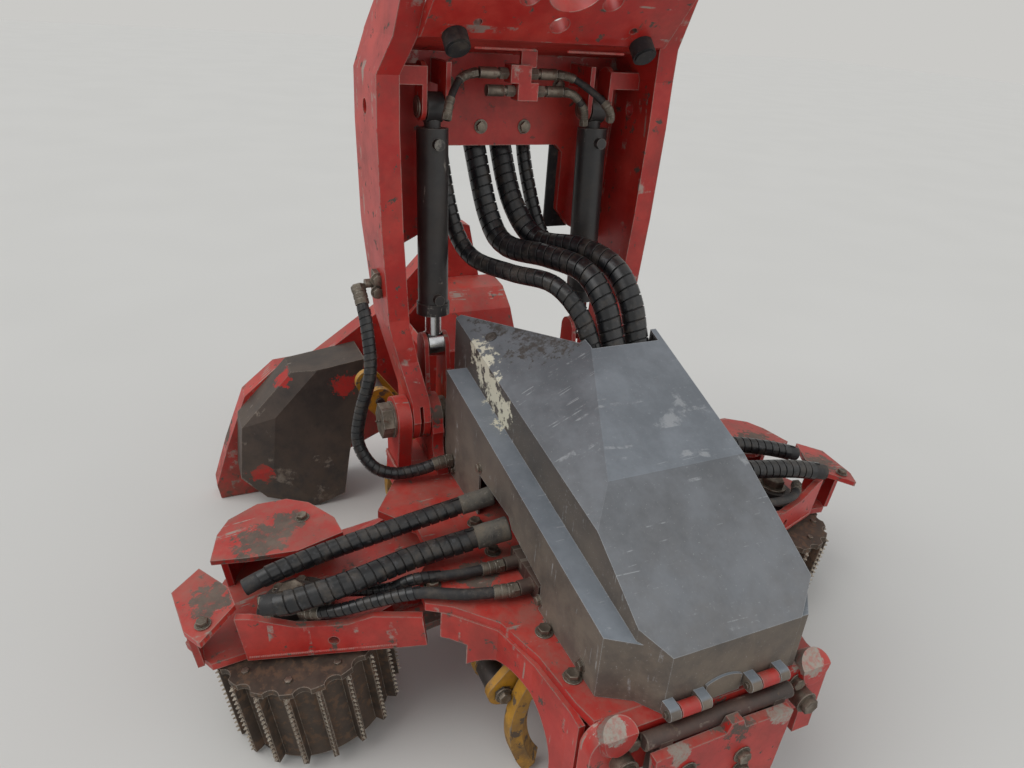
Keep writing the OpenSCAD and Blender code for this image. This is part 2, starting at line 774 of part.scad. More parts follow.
module arm() {
  color(red) arm_frame() difference() {
    union() {
      translate([0, 0, -38]) linear_extrude(plate_t) polygon(arm_plan);
      rod_x(0, 0, arm_x0, arm_x1, hinge_tube_r);
      // front web along the slanting edge of the floor plate
      web_frame() translate([0, 2, 0]) rotate([90, 0, 0]) linear_extrude(16)
        polygon([[-60, -30], [318, -30], [318, 92], [286, 88], [200, 55], [95, 50], [40, 66], [-60, 52]]);
      // hump plate over the rear part, on its wall
      translate([0, 0, hump_w]) linear_extrude(12) polygon(hump_plan);
      translate([0, 0, -25]) linear_extrude(hump_w + 30) difference() {
        polygon(hump_plan);
        polygon(inset(hump_plan, arm_wall_t));
        translate([180, 215]) square([200, 320]);
      }
      // end guard on its post
      translate([0, 0, hump_w - 2]) linear_extrude(14) polygon(guard_plan);
      translate([290, arm_reach - 22, -25]) cube([100, arm_wall_t, hump_w + 26]);
      // ribs from the hinge tube outwards
      for (u = [150, 420]) translate([u, 0, -30]) rotate([90, 0, 90]) linear_extrude(16)
        polygon([[0, 0], [250, 0], [250, 10], [60, 66], [0, 66]]);
    }
    rod_x(0, 0, 0, 700, hinge_pin_r + fit);
    translate([roller_x, roller_v, -60]) cylinder(h = 60, r = motor_r + 0.3);
    // hole in the front web
    web_frame() translate([130, 20, 8]) rotate([90, 0, 0]) cylinder(h = 60, r = 11);
  }
}

// Frame of the front web: origin at its inner end, +X outwards along it
module web_frame() {
  translate([514, 183, 0]) rotate([0, 0, 110.8]) children();
}

module arm_right() { arm(); }
module arm_left() { mirror([0, 1, 0]) arm(); }

// Hydraulic motor of a side roller: head above the arm, shaft into the roller
module motor() {
  color(black) arm_frame() translate([roller_x, roller_v, 0]) {
    translate([0, 0, -40]) cylinder(h = 40, r = motor_r);
    cylinder(h = 22, r = motor_r + 8);
    translate([0, 0, 22]) cylinder(h = 18, r = 52);
    translate([0, 0, -roller_l + 20]) cylinder(h = roller_l - 60, r = shaft_r);
  }
}

module motor_right() { motor(); }
module motor_left() { mirror([0, 1, 0]) motor(); }

// Side roller: open drum under a scalloped end plate, with ribs along the drum
module roller() {
  color(black) arm_frame() translate([roller_x, roller_v, roller_w]) difference() {
    union() {
      difference() {
        cylinder(h = roller_l, r = roller_r - rib_h);
        translate([0, 0, -1]) cylinder(h = roller_l - 15, r = roller_r - rib_h - 16);
      }
      translate([0, 0, roller_l - 14]) cylinder(h = 14, r = roller_r - 4);
      translate([0, 0, roller_l - 90]) cylinder(h = 80, r = shaft_r + 22);
      cylinder(h = 12, r = roller_r - rib_h - 8);
      for (i = [0 : roller_ribs - 1]) rotate(i * 360 / roller_ribs)
        translate([roller_r - rib_h - 4, -6, 6]) cube([rib_h + 4, 12, roller_l - 19]);
    }
    translate([0, 0, -1]) cylinder(h = roller_l + 2, r = shaft_r + fit);
    // scallops of the end plate between the ribs
    for (i = [0 : roller_ribs - 1]) rotate((i + 0.5) * 360 / roller_ribs)
      translate([roller_r + 4, 0, roller_l - 15]) cylinder(h = 20, r = 20);
  }
}

module roller_right() { roller(); }
module roller_left() { mirror([0, 1, 0]) roller(); }

module belly_roller() {
  color(black) translate([150, 0, belly_z + 20]) rotate([90, 0, 0]) {
    translate([0, 0, -web_y]) cylinder(h = 2 * web_y, r = 26);
    translate([0, 0, -web_y + web_t + 4]) cylinder(h = 2 * (web_y - web_t - 4), r = belly_r - 16);
    for (i = [0 : belly_ribs - 1]) rotate(i * 360 / belly_ribs)
      translate([belly_r - 20, -6, -110]) cube([20, 12, 220]);
  }
}

// Curved blade with a bevelled edge, from x0 over its thickness, growing out of the hub
module blade(x0) {
  translate([x0, 40, 150]) rotate([90, 0, 90]) rotate(-34) rotate_extrude(angle = 64)
    polygon([[blade_r - blade_d / 2, 6], [blade_r - blade_d / 2 + 10, 0], [blade_r + blade_d / 2, 0],
      [blade_r + blade_d / 2, blade_t], [blade_r - blade_d / 2 + 22, blade_t], [blade_r - blade_d / 2, 10]]);
  yz(x0 + 2, blade_t - 4)
    strap([knife_y, knife_z], knife_hub_r - 2, [40, 150] + blade_r * [cos(26), sin(26)], blade_d / 2 - 2);
}

// Front knife: hub on its pin, curved blade and two ears for its cylinder
module knife_front(x0) {
  color(yellow) difference() {
    union() {
      rod_x(knife_y, knife_z, 562, 878, knife_hub_r);
      blade(x0);
      for (x = [567, 646]) yz(x, 20) strap([knife_y, knife_z], knife_hub_r - 4, front_ear, 32);
    }
    rod_x(knife_y, knife_z, 500, front_x, knife_pin_r + fit);
    rod_x(front_ear.x, front_ear.y, 500, 700, knife_eye_pin_r + fit);
  }
}

module knife_front_right() { knife_front(714); }
module knife_front_left() { mirror([0, 1, 0]) knife_front(674); }

module knife_rear(x0) {
  color(yellow) difference() {
    union() {
      rod_x(knife_y, knife_z, -300, -150, knife_hub_r);
      blade(x0);
      for (x = [-296, -176]) yz(x, 20) strap([knife_y, knife_z], knife_hub_r - 4, rear_ear, 38);
    }
    rod_x(knife_y, knife_z, -400, 0, knife_pin_r + fit);
    rod_x(rear_ear.x, rear_ear.y, -400, 0, knife_eye_pin_r + fit);
  }
}

module knife_rear_right() { knife_rear(-236); }
module knife_rear_left() { mirror([0, 1, 0]) knife_rear(-272); }

// Eye of a knife cylinder between the knife's ears, with its pin
module eye_front() {
  color(black) {
    rod_x(front_ear.x, front_ear.y, 587.3, 645.7, knife_eye_r);
    rod_x(front_ear.x, front_ear.y, 560, 672, knife_eye_pin_r);
    rod_x(front_ear.x, front_ear.y, 666.3, 672, knife_eye_pin_r + 7, $fn = 6);
  }
}

module eye_front_right() { eye_front(); }
module eye_front_left() { mirror([0, 1, 0]) eye_front(); }

module eye_rear() {
  color(black) {
    rod_x(rear_ear.x, rear_ear.y, -275.7, -176.3, knife_eye_r);
    rod_x(rear_ear.x, rear_ear.y, -304, -148, knife_eye_pin_r);
  }
}

module eye_rear_right() { eye_rear(); }
module eye_rear_left() { mirror([0, 1, 0]) eye_rear(); }

module saw_bar() {
  nose = saw_bar_dir * bar_l;
  color(steel) yz(rear_x - saw_t - slot_w / 2 - bar_t / 2, bar_t)
    difference() {
      strap([saw_y, saw_z], 70, [saw_y, saw_z] + nose, bar_nose_r);
      translate([saw_y, saw_z]) circle(r = saw_shaft_r + fit);
    }
}
saw_bar_dir = [-0.8412, -0.5407];

module saw_motor() {
  color(steel) {
    rod_x(saw_y, saw_z, rear_x - slot_w - saw_t, rear_x + 60, saw_shaft_r);
    rod_x(saw_y, saw_z, rear_x + 19, rear_x + 150, 56);
  }
}

module pivot_pins() {
  color(steel) both() {
    rod_y(0, pivot_z, ear_in_y - 22, ear_out_y + ear_out_t + 30, pivot_pin_r);
    rod_y(0, pivot_z, ear_in_y - 22, ear_in_y - 0.3, 44);
    rod_y(0, pivot_z, ear_out_y + ear_out_t + 0.3, ear_out_y + ear_out_t + 6, 48);
    rod_y(0, pivot_z, ear_out_y + ear_out_t + 6, ear_out_y + ear_out_t + 34, 46, $fn = 6);
  }
}

module arm_pins() {
  color(steel) both() rod_x(hinge_y, hinge_z, arm_x0 - 24, arm_x1 + 30, hinge_pin_r);
}

module top_pins() {
  color(steel) both() rod_y(top_pin_x, top_pin_z, lug_in_y - 7, lug_out_y + lug_t + 7, cyl_pin_r);
}

module knife_pins() {
  color(steel) both() {
    rod_x(knife_y, knife_z, 530, front_x + 22, knife_pin_r);
    rod_x(knife_y, knife_z, -330, -120, knife_pin_r);
  }
}

// Valve block at the cover's left edge, with its bolt and two hose fittings
module valve_block() {
  color(black) {
    translate([560, -216, deck_z]) cube([66, 56, 46]);
    translate([474, -210, deck_z]) cube([80, 50, 34]);
    rod_y(592, deck_z + 24, -246, -216, 16);
    rod_y(506, deck_z + 17, -240, -210, 15);
    translate([604, -196, deck_z + 46]) cylinder(h = 9, r = 9, $fn = 6);
  }
}

// Smooth curve through hand-chosen points: value at t between point i and point i + 1
function at(p, i) = p[max(0, min(len(p) - 1, i))];
function curve(p, i, t) =
  let (a = at(p, i - 1), b = at(p, i), c = at(p, i + 1), d = at(p, i + 2))
  0.5 * (2 * b + (c - a) * t + (2 * a - 5 * b + 4 * c - d) * t * t + (3 * b - a - 3 * c + d) * t * t * t);
function path(p, n) = [
  for (k = [0 : n]) let (s = k * (len(p) - 1) / n, i = min(floor(s), len(p) - 2)) curve(p, i, s - i)
];
function unit(v) = v / norm(v);
function heading(q, i) = unit(at(q, i + 1) - at(q, i - 1));
// Side direction carried along the path from ring to ring
function sides(q, s, i) = i >= len(q) ? [] :
  let (h = heading(q, i), v = unit(s - h * (s * h))) concat([v], sides(q, v, i + 1));

hose_sides = 10;
// Hose of radius r through the points p, in n steps, as one closed tube
module hose(p, r, n) {
  q = path(p, n);
  h0 = heading(q, 0);
  v = sides(q, abs(h0.z) < 0.8 ? [0, 0, 1] : [1, 0, 0], 0);
  m = hose_sides;
  points = [
    for (i = [0 : n]) let (w = cross(heading(q, i), v[i]))
      for (k = [0 : m - 1]) q[i] + r * (cos(k * 360 / m) * v[i] + sin(k * 360 / m) * w)
  ];
  faces = concat(
    [[for (k = [0 : m - 1]) k]],
    [for (i = [0 : n - 1]) for (k = [0 : m - 1])
      [i * m + k, (i + 1) * m + k, (i + 1) * m + (k + 1) % m, i * m + (k + 1) % m]],
    [[for (k = [m - 1 : -1 : 0]) n * m + k]]
  );
  polyhedron(points, faces);
}

// Four lines from behind the link through its window into the cover's chute
module hoses_main() {
  color(black) {
    hose([[-262, -150, 1238], [-228, -149, 1150], [-160, -136, 1000], [-90, -106, 922], [40, -52, 917],
      [160, 4, 924], [240, 40, 874], [286, 57, 800], [330, 57, 750]], 22, 9);
    hose([[-262, -62, 1262], [-226, -55, 1170], [-158, -35, 1010], [-85, -12, 948], [50, 45, 955],
      [160, 88, 948], [236, 106, 890], [284, 113, 806], [330, 114, 752]], 29, 9);
    hose([[-262, 20, 1262], [-226, 18, 1170], [-150, 30, 1040], [-70, 70, 962], [60, 126, 974],
      [170, 160, 958], [240, 174, 896], [284, 178, 808], [330, 178, 754]], 29, 9);
    hose([[-262, 90, 1250], [-232, 90, 1150], [-190, 96, 1060], [-150, 104, 990], [-110, 120, 930],
      [-90, 128, 880]], 19, 5);
  }
}

// Short lines from the couplings to the tilt cylinders, and a branch across the window
module hoses_link() {
  color(black) {
    hose([[row_x, 81, rows[0].x], [row_x, 128, knee_z - 2], [row_x + 30, 176, knee_z - 34],
      [row_x + 56, 204, knee_z - 66], [row_x + 50, 212, knee_z - 92]], 10, 6);
    hose([[row_x, 101, rows[1].x], [row_x, 134, knee_z - 40], [row_x + 6, 160, knee_z - 70],
      [row_x + 4, 166, knee_z - 110]], 10, 5);
    hose([[row_x, -121, rows[0].x], [row_x, -160, knee_z - 6], [row_x + 34, -196, knee_z - 44],
      [row_x + 50, -212, knee_z - 92]], 10, 5);
  }
}

// Line that hangs in a loop from the left arm of the link round the clevis
module hose_loop() {
  color(black) hose([[-67, -409, 878], [-10, -404, 800], [36, -408, 690], [44, -436, 590], [56, -448, 512],
    [84, -420, 452], [104, -370, 432], [116, -310, 438], [120, -262, 450], [120, -240, 452],
    [120, -222, 452]], 16, 12);
}

module hoses_left() {
  color(black) {
    hose([[352, -208, 494], [346, -300, 476], [344, -450, 451], [342, -600, 424], [352, -710, 406],
      [355, -764, 388]], 21, 7);
    hose([[452, -208, 474], [442, -300, 456], [438, -430, 438], [452, -560, 424], [446, -680, 404],
      [426, -736, 394]], 25, 7);
    hose([[592, -248, 429], [591, -268, 429], [570, -350, 426], [528, -440, 422], [496, -520, 398],
      [472, -600, 376], [422, -662, 348]], 14, 8);
    hose([[506, -242, 422], [506, -262, 422], [502, -340, 422], [484, -434, 420], [456, -486, 386],
      [420, -560, 374], [390, -640, 366], [368, -740, 352]], 13, 9);
  }
}

module hoses_right() {
  color(black) {
    hose([[282, 206, 454], [268, 400, 452], [270, 540, 444], [300, 664, 426], [324, 762, 400]], 22, 6);
    hose([[370, 206, 458], [378, 400, 452], [390, 540, 434], [404, 670, 418], [416, 780, 392]], 25, 6);
    hose([[470, 206, 430], [474, 330, 424], [478, 434, 421], [476, 520, 388], [468, 600, 374],
      [444, 660, 362], [392, 716, 350]], 13, 7);
  }
}

head() frame();
head() deck();
head() front_wall();
head() clevis_left();
head() clevis_right();
head() wing_left();
head() wing_right();
head() front_plate();
head() front_bar();
head() lid_hinges();
head() lid_pins();
head() rear_house();
head() saw_box();
head() saw_cowl();
head() link_left();
head() link_right();
head() link_back();
head() stops();
head() coupling_block();
head() couplings();
head() link_valve();
head() flap();
head() cover();
head() cover_lugs();
head() valve_block();
head() barrel_left();
head() barrel_right();
head() rod_left();
head() rod_right();
head() arm_left();
head() arm_right();
head() motor_left();
head() motor_right();
head() roller_left();
head() roller_right();
head() belly_roller();
head() knife_front_left();
head() knife_front_right();
head() knife_rear_left();
head() knife_rear_right();
head() eye_front_left();
head() eye_front_right();
head() eye_rear_left();
head() eye_rear_right();
head() saw_bar();
head() saw_motor();
head() pivot_pins();
head() top_pins();
head() arm_pins();
head() knife_pins();
head() hoses_main();
head() hoses_link();
head() hose_loop();
head() hoses_left();
head() hoses_right();
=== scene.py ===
"""Looks of a harvester head that lies open on its belly, with its tilt link standing up.

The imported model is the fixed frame. This script gives every solid its worn finish and
models the wrapped hydraulic hoses, roller teeth, fasteners, saw chain, weld beads and
small trim that ride on it, then sets up the studio and the camera.
"""

import json
import logging
import math
from dataclasses import dataclass, field, replace
from enum import Enum
from typing import Iterable, Sequence

import bpy
from mathutils import Matrix, Vector

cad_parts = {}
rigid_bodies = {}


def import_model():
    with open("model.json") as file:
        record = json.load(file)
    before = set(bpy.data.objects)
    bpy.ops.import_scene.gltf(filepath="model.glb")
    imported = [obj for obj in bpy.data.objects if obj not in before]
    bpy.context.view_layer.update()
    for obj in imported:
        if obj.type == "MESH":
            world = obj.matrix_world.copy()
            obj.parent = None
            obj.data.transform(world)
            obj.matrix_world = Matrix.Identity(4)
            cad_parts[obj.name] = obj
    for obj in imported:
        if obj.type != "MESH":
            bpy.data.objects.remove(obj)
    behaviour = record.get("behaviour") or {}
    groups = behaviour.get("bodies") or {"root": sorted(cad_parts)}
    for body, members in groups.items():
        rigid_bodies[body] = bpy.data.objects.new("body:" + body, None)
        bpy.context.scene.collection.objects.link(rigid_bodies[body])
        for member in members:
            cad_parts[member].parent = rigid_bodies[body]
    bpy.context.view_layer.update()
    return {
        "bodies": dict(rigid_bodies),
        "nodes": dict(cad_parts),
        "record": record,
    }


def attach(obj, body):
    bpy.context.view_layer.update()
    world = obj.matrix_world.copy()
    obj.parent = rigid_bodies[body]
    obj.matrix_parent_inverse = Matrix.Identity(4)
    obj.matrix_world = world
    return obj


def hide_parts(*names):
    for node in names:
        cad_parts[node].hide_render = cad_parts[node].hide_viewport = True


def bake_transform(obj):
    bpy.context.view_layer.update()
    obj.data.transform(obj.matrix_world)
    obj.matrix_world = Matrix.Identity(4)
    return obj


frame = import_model()

log = logging.getLogger("harvester_head")
# The middle of the model lies this far ahead of the tilt pivot, in mm.
ORIGIN_X = 190.5
# The roller arms hinge at this Y and Z in mm, and their floor plates slope down by this much.
ARM_HINGE = (300, 340)
ARM_SLOPE = math.radians(8)
SIDES = ((-1, "left"), (1, "right"))
# Points closer together than this, in metres, are one point.
SAME_PLACE = 1e-6
# Stands a piece that was turned about X up along Z.
UPRIGHT = Matrix.Rotation(-math.pi / 2, 4, "Y")
Point = Sequence[float]
Socket = bpy.types.NodeSocket


def metres(point: Point) -> Vector:
    """Turns a point in mm from the tilt pivot into the row frame.

    Args:
        point: x, y and z in mm, x from the tilt pivot.

    Returns:
        The same point in metres in the row frame.
    """
    return Vector(((point[0] - ORIGIN_X) / 1000, point[1] / 1000, point[2] / 1000))


def linear(hex_colour: str) -> tuple[float, float, float, float]:
    """Turns an sRGB colour such as "#b8221c" into linear values.

    Args:
        hex_colour: The colour as it looks on a screen.

    Returns:
        Red, green, blue and alpha for a shader socket.
    """
    parts = [int(hex_colour[i:i + 2], 16) / 255 for i in (1, 3, 5)]
    r, g, b = (p / 12.92 if p <= 0.04045 else ((p + 0.055) / 1.055) ** 2.4 for p in parts)
    return (r, g, b, 1.0)


def add(tree: bpy.types.NodeTree, kind: str, inputs: dict | None = None, out: int | str = 0,
        **settings: object) -> Socket:
    """Adds a node, sets it up and links what feeds it.

    Args:
        tree: The node tree.
        kind: The node's type.
        inputs: Values or sockets by input name or number.
        out: Name or number of the output that is wanted.
        settings: Attributes of the node.

    Returns:
        That output.
    """
    node = tree.nodes.new(kind)
    for key, value in settings.items():
        setattr(node, key, value)
    for key, value in (inputs or {}).items():
        if isinstance(value, Socket):
            tree.links.new(value, node.inputs[key])
        else:
            node.inputs[key].default_value = value
    return node.outputs[out]


class Surface:
    """One material under work: the coats laid so far, and the patterns that say where a coat lies."""

    def __init__(self, name: str, colour: str, rough: float, metal: float = 0.0,
                 grain_mm: float = 8.0) -> None:
        """Starts a material with its lowest coat and a fine grain.

        Args:
            name: The material's name.
            colour: Colour of the lowest coat.
            rough: Its roughness.
            metal: Its share of metal.
            grain_mm: Size of the grain in its relief.
        """
        self.material = bpy.data.materials.new(name)
        self.material.use_nodes = True
        self.tree = self.material.node_tree
        self.place = add(self.tree, "ShaderNodeTexCoord", out="Object")
        self.colour: Socket | tuple = linear(colour)
        self.rough: Socket | float = rough
        self.metal: Socket | float = metal
        self.height = self.patches(grain_mm, 0.2, 0.8, 0.5, 0.8, 4)

    def patches(self, size_mm: float, low: float, high: float, least: float = 0.0, most: float = 1.0,
                detail: float = 5.0) -> Socket:
        """Ragged patches.

        Args:
            size_mm: Size of a patch.
            low: Noise up to which the result is least.
            high: Noise from which it is most.
            least: Lowest result.
            most: Highest result.
            detail: Levels of finer noise in the rims.

        Returns:
            Where the patches are, from least to most.
        """
        noise = add(self.tree, "ShaderNodeTexNoise", {
            "Vector": self.place, "Scale": 1000 / size_mm, "Detail": detail, "Roughness": 0.7})
        return add(self.tree, "ShaderNodeMapRange", {
            "Value": noise, "From Min": low, "From Max": high, "To Min": least, "To Max": most},
            interpolation_type="SMOOTHSTEP")

    def edges(self, width_mm: float) -> Socket:
        """Sharp edges, where hands, wood and stones wear a coat off first.

        Args:
            width_mm: Width of the worn strip.

        Returns:
            1 on an edge, 0 away from it.
        """
        bevel = add(self.tree, "ShaderNodeBevel", {"Radius": width_mm / 1000}, samples=6)
        flat = add(self.tree, "ShaderNodeNewGeometry", out="Normal")
        dot = add(self.tree, "ShaderNodeVectorMath", {0: bevel, 1: flat}, out="Value",
                  operation="DOT_PRODUCT")
        return add(self.tree, "ShaderNodeMapRange", {"Value": dot, "From Min": 0.985, "From Max": 0.80})

    def upward(self, low: float = 0.35, high: float = 0.95) -> Socket:
        """Faces that look up, where dust settles, and where the cover's top is painted lighter for the sky's
        sheen.

        Args:
            low: Steepest slope that takes a little.
            high: Slope from which it lies in full.

        Returns:
            1 on level faces, 0 on walls.
        """
        normal = add(self.tree, "ShaderNodeTexCoord", out="Normal")
        up = add(self.tree, "ShaderNodeSeparateXYZ", {0: normal}, out="Z")
        return add(self.tree, "ShaderNodeMapRange", {"Value": up, "From Min": low, "From Max": high})

    def low_down(self, top_mm: float, bottom_mm: float = 0.0) -> Socket:
        """Low parts, where mud splashes.

        Args:
            top_mm: Height that the mud reaches.
            bottom_mm: Height up to which it lies in full.

        Returns:
            1 low down, 0 from top_mm up.
        """
        height = add(self.tree, "ShaderNodeSeparateXYZ", {0: self.place}, out="Z")
        return add(self.tree, "ShaderNodeMapRange", {
            "Value": height, "From Min": top_mm / 1000, "From Max": bottom_mm / 1000})

    def spots(self, places: Iterable[Point]) -> Socket:
        """Blotches round chosen places, with ragged rims.

        Args:
            places: x, y, z and radius in mm of each.

        Returns:
            1 inside a blotch, 0 outside.
        """
        ragged = self.patches(26, 0.3, 0.7, -0.45, 0.45)
        total: Socket | float = 0.0
        for x, y, z, r in places:
            far = add(self.tree, "ShaderNodeVectorMath", {0: self.place, 1: metres((x, y, z))}, out="Value",
                      operation="DISTANCE")
            torn = add(self.tree, "ShaderNodeMath", {0: far, 1: 1000 / r, 2: ragged},
                       operation="MULTIPLY_ADD")
            inside = add(self.tree, "ShaderNodeMapRange", {"Value": torn, "From Min": 1.0, "From Max": 0.86})
            total = add(self.tree, "ShaderNodeMath", {0: total, 1: inside}, operation="MAXIMUM")
        return total

    def scratches(self, size_mm: float, thin: float = 0.006) -> Socket:
        """Fine, nearly straight scratches in four directions, broken into short runs.

        Args:
            size_mm: Spacing of the scratches.
            thin: Half width of a scratch, as a share of the noise.

        Returns:
            1 in a scratch, 0 beside it.
        """
        total: Socket | float = 0.0
        for turn in ((0.4, 0.3, 0.5), (1.3, 0.9, -0.6), (-0.7, 0.2, 1.4), (0.2, 1.1, 2.3)):
            drawn = add(self.tree, "ShaderNodeMapping", {
                "Vector": self.place, "Rotation": turn, "Scale": (1, 0.05, 0.05)})
            line = add(self.tree, "ShaderNodeTexNoise", {
                "Vector": drawn, "Scale": 1000 / size_mm, "Detail": 1.0, "Roughness": 0.3})
            near = add(self.tree, "ShaderNodeMath", {0: line, 1: 0.5, 2: thin}, operation="COMPARE")
            total = add(self.tree, "ShaderNodeMath", {0: total, 1: near}, operation="MAXIMUM")
        runs = self.patches(size_mm * 0.6, 0.54, 0.64)
        return add(self.tree, "ShaderNodeMath", {0: total, 1: runs}, operation="MULTIPLY")

    def lay(self, colour: str, rough: float, *masks: Socket | float, metal: float = 0.0,
            step: float = 0.0) -> None:
        """Lays one coat over what is there, where all its masks are.

        Args:
            colour: Colour of the coat.
            rough: Its roughness.
            masks: Where it lies; the masks are multiplied.
            metal: Its share of metal.
            step: How far it stands proud, or if negative lies deep, as a share of the relief.
        """
        share = masks[0]
        for mask in masks[1:]:
            share = add(self.tree, "ShaderNodeMath", {0: share, 1: mask}, operation="MULTIPLY")
        self.colour = add(self.tree, "ShaderNodeMix", {0: share, 6: self.colour, 7: linear(colour)}, out=2,
                          data_type="RGBA")
        self.rough = add(self.tree, "ShaderNodeMix", {0: share, 2: self.rough, 3: rough})
        if metal != self.metal:
            self.metal = add(self.tree, "ShaderNodeMix", {0: share, 2: self.metal, 3: metal})
        if step:
            self.height = add(self.tree, "ShaderNodeMath", {0: share, 1: step, 2: self.height},
                              operation="MULTIPLY_ADD")

    def finish(self, depth_mm: float) -> bpy.types.Material:
        """Links the coats to the shader.

        Args:
            depth_mm: Depth of the relief.

        Returns:
            The finished material.
        """
        shader = self.tree.nodes["Principled BSDF"]
        bump = add(self.tree, "ShaderNodeBump", {
            "Height": self.height, "Distance": depth_mm / 1000, "Strength": 0.6})
        for key, value in (("Base Color", self.colour), ("Roughness", self.rough), ("Metallic", self.metal),
                           ("Normal", bump)):
            if isinstance(value, Socket):
                self.tree.links.new(value, shader.inputs[key])
            else:
                shader.inputs[key].default_value = value
        return self.material


@dataclass(frozen=True)
class Enamel:
    """Machine enamel on steel: faded in clouds, under a brown film, chipped, bright on its edges.

    Worn and bare are spots, each an x, y, z and radius in mm, rubbed to primer or to steel.
    """

    name: str
    colour: str
    faded: str
    primer: str = "#54473f"
    steel: str = "#a39c92"
    grime: str = "#5e352c"
    dust: str = "#9c8979"
    mud: str = "#5d4e41"
    rough: float = 0.38
    edge_mm: float = 5.0
    edge_share: float = 0.75
    chips: float = 0.60
    film: float = 0.45
    dust_share: float = 0.34
    mud_top: float = 300.0
    mud_share: float = 0.7
    scratch_mm: float = 130.0
    worn: tuple[Point, ...] = ()
    bare: tuple[Point, ...] = ()

    def material(self) -> bpy.types.Material:
        """Lays the enamel's coats, from the paint up to the mud.

        Returns:
            The material.
        """
        s = Surface(self.name, self.colour, self.rough, grain_mm=9)
        s.lay(self.faded, self.rough + 0.06, s.patches(150, 0.38, 0.66))
        s.lay(self.grime, 0.62, s.patches(120, 0.40, 0.72, detail=7), self.film)
        s.lay(self.primer, 0.74, s.patches(34, self.chips, self.chips + 0.05, detail=6), step=-0.5)
        if self.worn:
            s.lay(self.primer, 0.74, s.spots(self.worn), s.patches(14, 0.3, 0.5, 0.4), step=-0.4)
        s.lay(self.steel, 0.42, s.edges(self.edge_mm), s.patches(22, 0.34, 0.52), self.edge_share, metal=0.7)
        s.lay(self.steel, 0.45, s.scratches(self.scratch_mm), 0.8, metal=0.5)
        if self.bare:
            s.lay(self.steel, 0.5, s.spots(self.bare), s.patches(9, 0.3, 0.6, 0.4), metal=0.6)
        s.lay(self.dust, 0.88, s.upward(), s.patches(60, 0.3, 0.75, 0.15), self.dust_share)
        s.lay(self.mud, 0.92, s.low_down(self.mud_top), s.patches(45, 0.35, 0.62, detail=6), self.mud_share)
        return s.finish(0.35)


@dataclass(frozen=True)
class CoverPaint:
    """Slate paint on sheet steel: a top painted lighter and bluer for a pale dust film and the sky's sheen,
    brown dust low down and thin bright edges.

    The torn patch and the dark brown raised patches on the rear top are spots, each an x, y, z and radius in
    mm.
    """

    name: str = "slate_cover_paint"
    side: str = "#3f3c3a"
    side_cloud: str = "#524b47"
    dust: str = "#877969"
    # Painted sky sheen: faces that look up get a lighter, bluer top colour, part pale dust film and part
    # painted sheen.
    top: str = "#6e747a"
    top_film_and_sheen_cloud: str = "#858b91"
    speck: str = "#a3a4a3"
    dark_patch_brown: str = "#3f362e"
    paper: str = "#cbc6b2"
    bright: str = "#a9abac"
    level: tuple[float, float] = (0.78, 0.97)
    torn: tuple[Point, ...] = ()
    rear_dark_patches: tuple[Point, ...] = ()

    def material(self) -> bpy.types.Material:
        """Lays the paint, a top painted lighter and bluer for its dust film and the sky's sheen, specks,
        dust, dark brown raised patches, the torn patch and the scratches.

        Returns:
            The material.
        """
        s = Surface(self.name, self.side, 0.42, grain_mm=7)
        s.lay(self.side_cloud, 0.6, s.patches(180, 0.35, 0.7))
        s.lay(self.dust, 0.85, s.low_down(720, 440), s.patches(80, 0.3, 0.65, 0.3, detail=6), 0.7)
        # Painted sky sheen on the faces that look up, with a pale dust film in clouds.
        s.lay(self.top, 0.36, s.upward(*self.level))
        s.lay(self.top_film_and_sheen_cloud, 0.5, s.upward(*self.level), s.patches(180, 0.35, 0.7), 0.8)
        s.lay(self.speck, 0.6, s.patches(5, 0.66, 0.72, detail=2), 0.4)
        # Dark brown raised patches on the cover's rear top.
        if self.rear_dark_patches:
            s.lay(self.dark_patch_brown, 0.95, s.spots(self.rear_dark_patches), s.patches(16, 0.35, 0.6, detail=6), 0.85, step=0.6)
        if self.torn:
            s.lay(self.paper, 0.6, s.spots(self.torn), s.patches(30, 0.42, 0.47, detail=6), step=0.3)
        s.lay(self.bright, 0.35, s.edges(3.0), s.patches(40, 0.3, 0.55, 0.25, 0.8))
        s.lay(self.bright, 0.5, s.scratches(120, 0.004), 0.5)
        return s.finish(0.14)


@dataclass(frozen=True)
class Steel:
    """Bare steel: cast, turned or ground, stained in clouds, rusty in patches and bright on its edges."""

    name: str
    colour: str = "#8d8a85"
    second: str = "#6b6762"
    rust: str = "#5b4233"
    rust_from: float = 0.62
    rough: float = 0.4
    metal: float = 0.85
    grain_mm: float = 6.0
    edge_mm: float = 2.0
    edge: str = "#b9b5ad"

    def material(self) -> bpy.types.Material:
        """Lays the stains, the rust and the bright edges.

        Returns:
            The material.
        """
        s = Surface(self.name, self.colour, self.rough, self.metal, self.grain_mm)
        s.lay(self.second, self.rough + 0.15, s.patches(50, 0.35, 0.65), metal=self.metal)
        s.lay(self.rust, 0.85, s.patches(24, self.rust_from, self.rust_from + 0.1, detail=6), metal=0.1,
              step=0.3)
        s.lay(self.edge, self.rough, s.edges(self.edge_mm), s.patches(self.grain_mm, 0.3, 0.55),
              metal=self.metal)
        return s.finish(0.2)


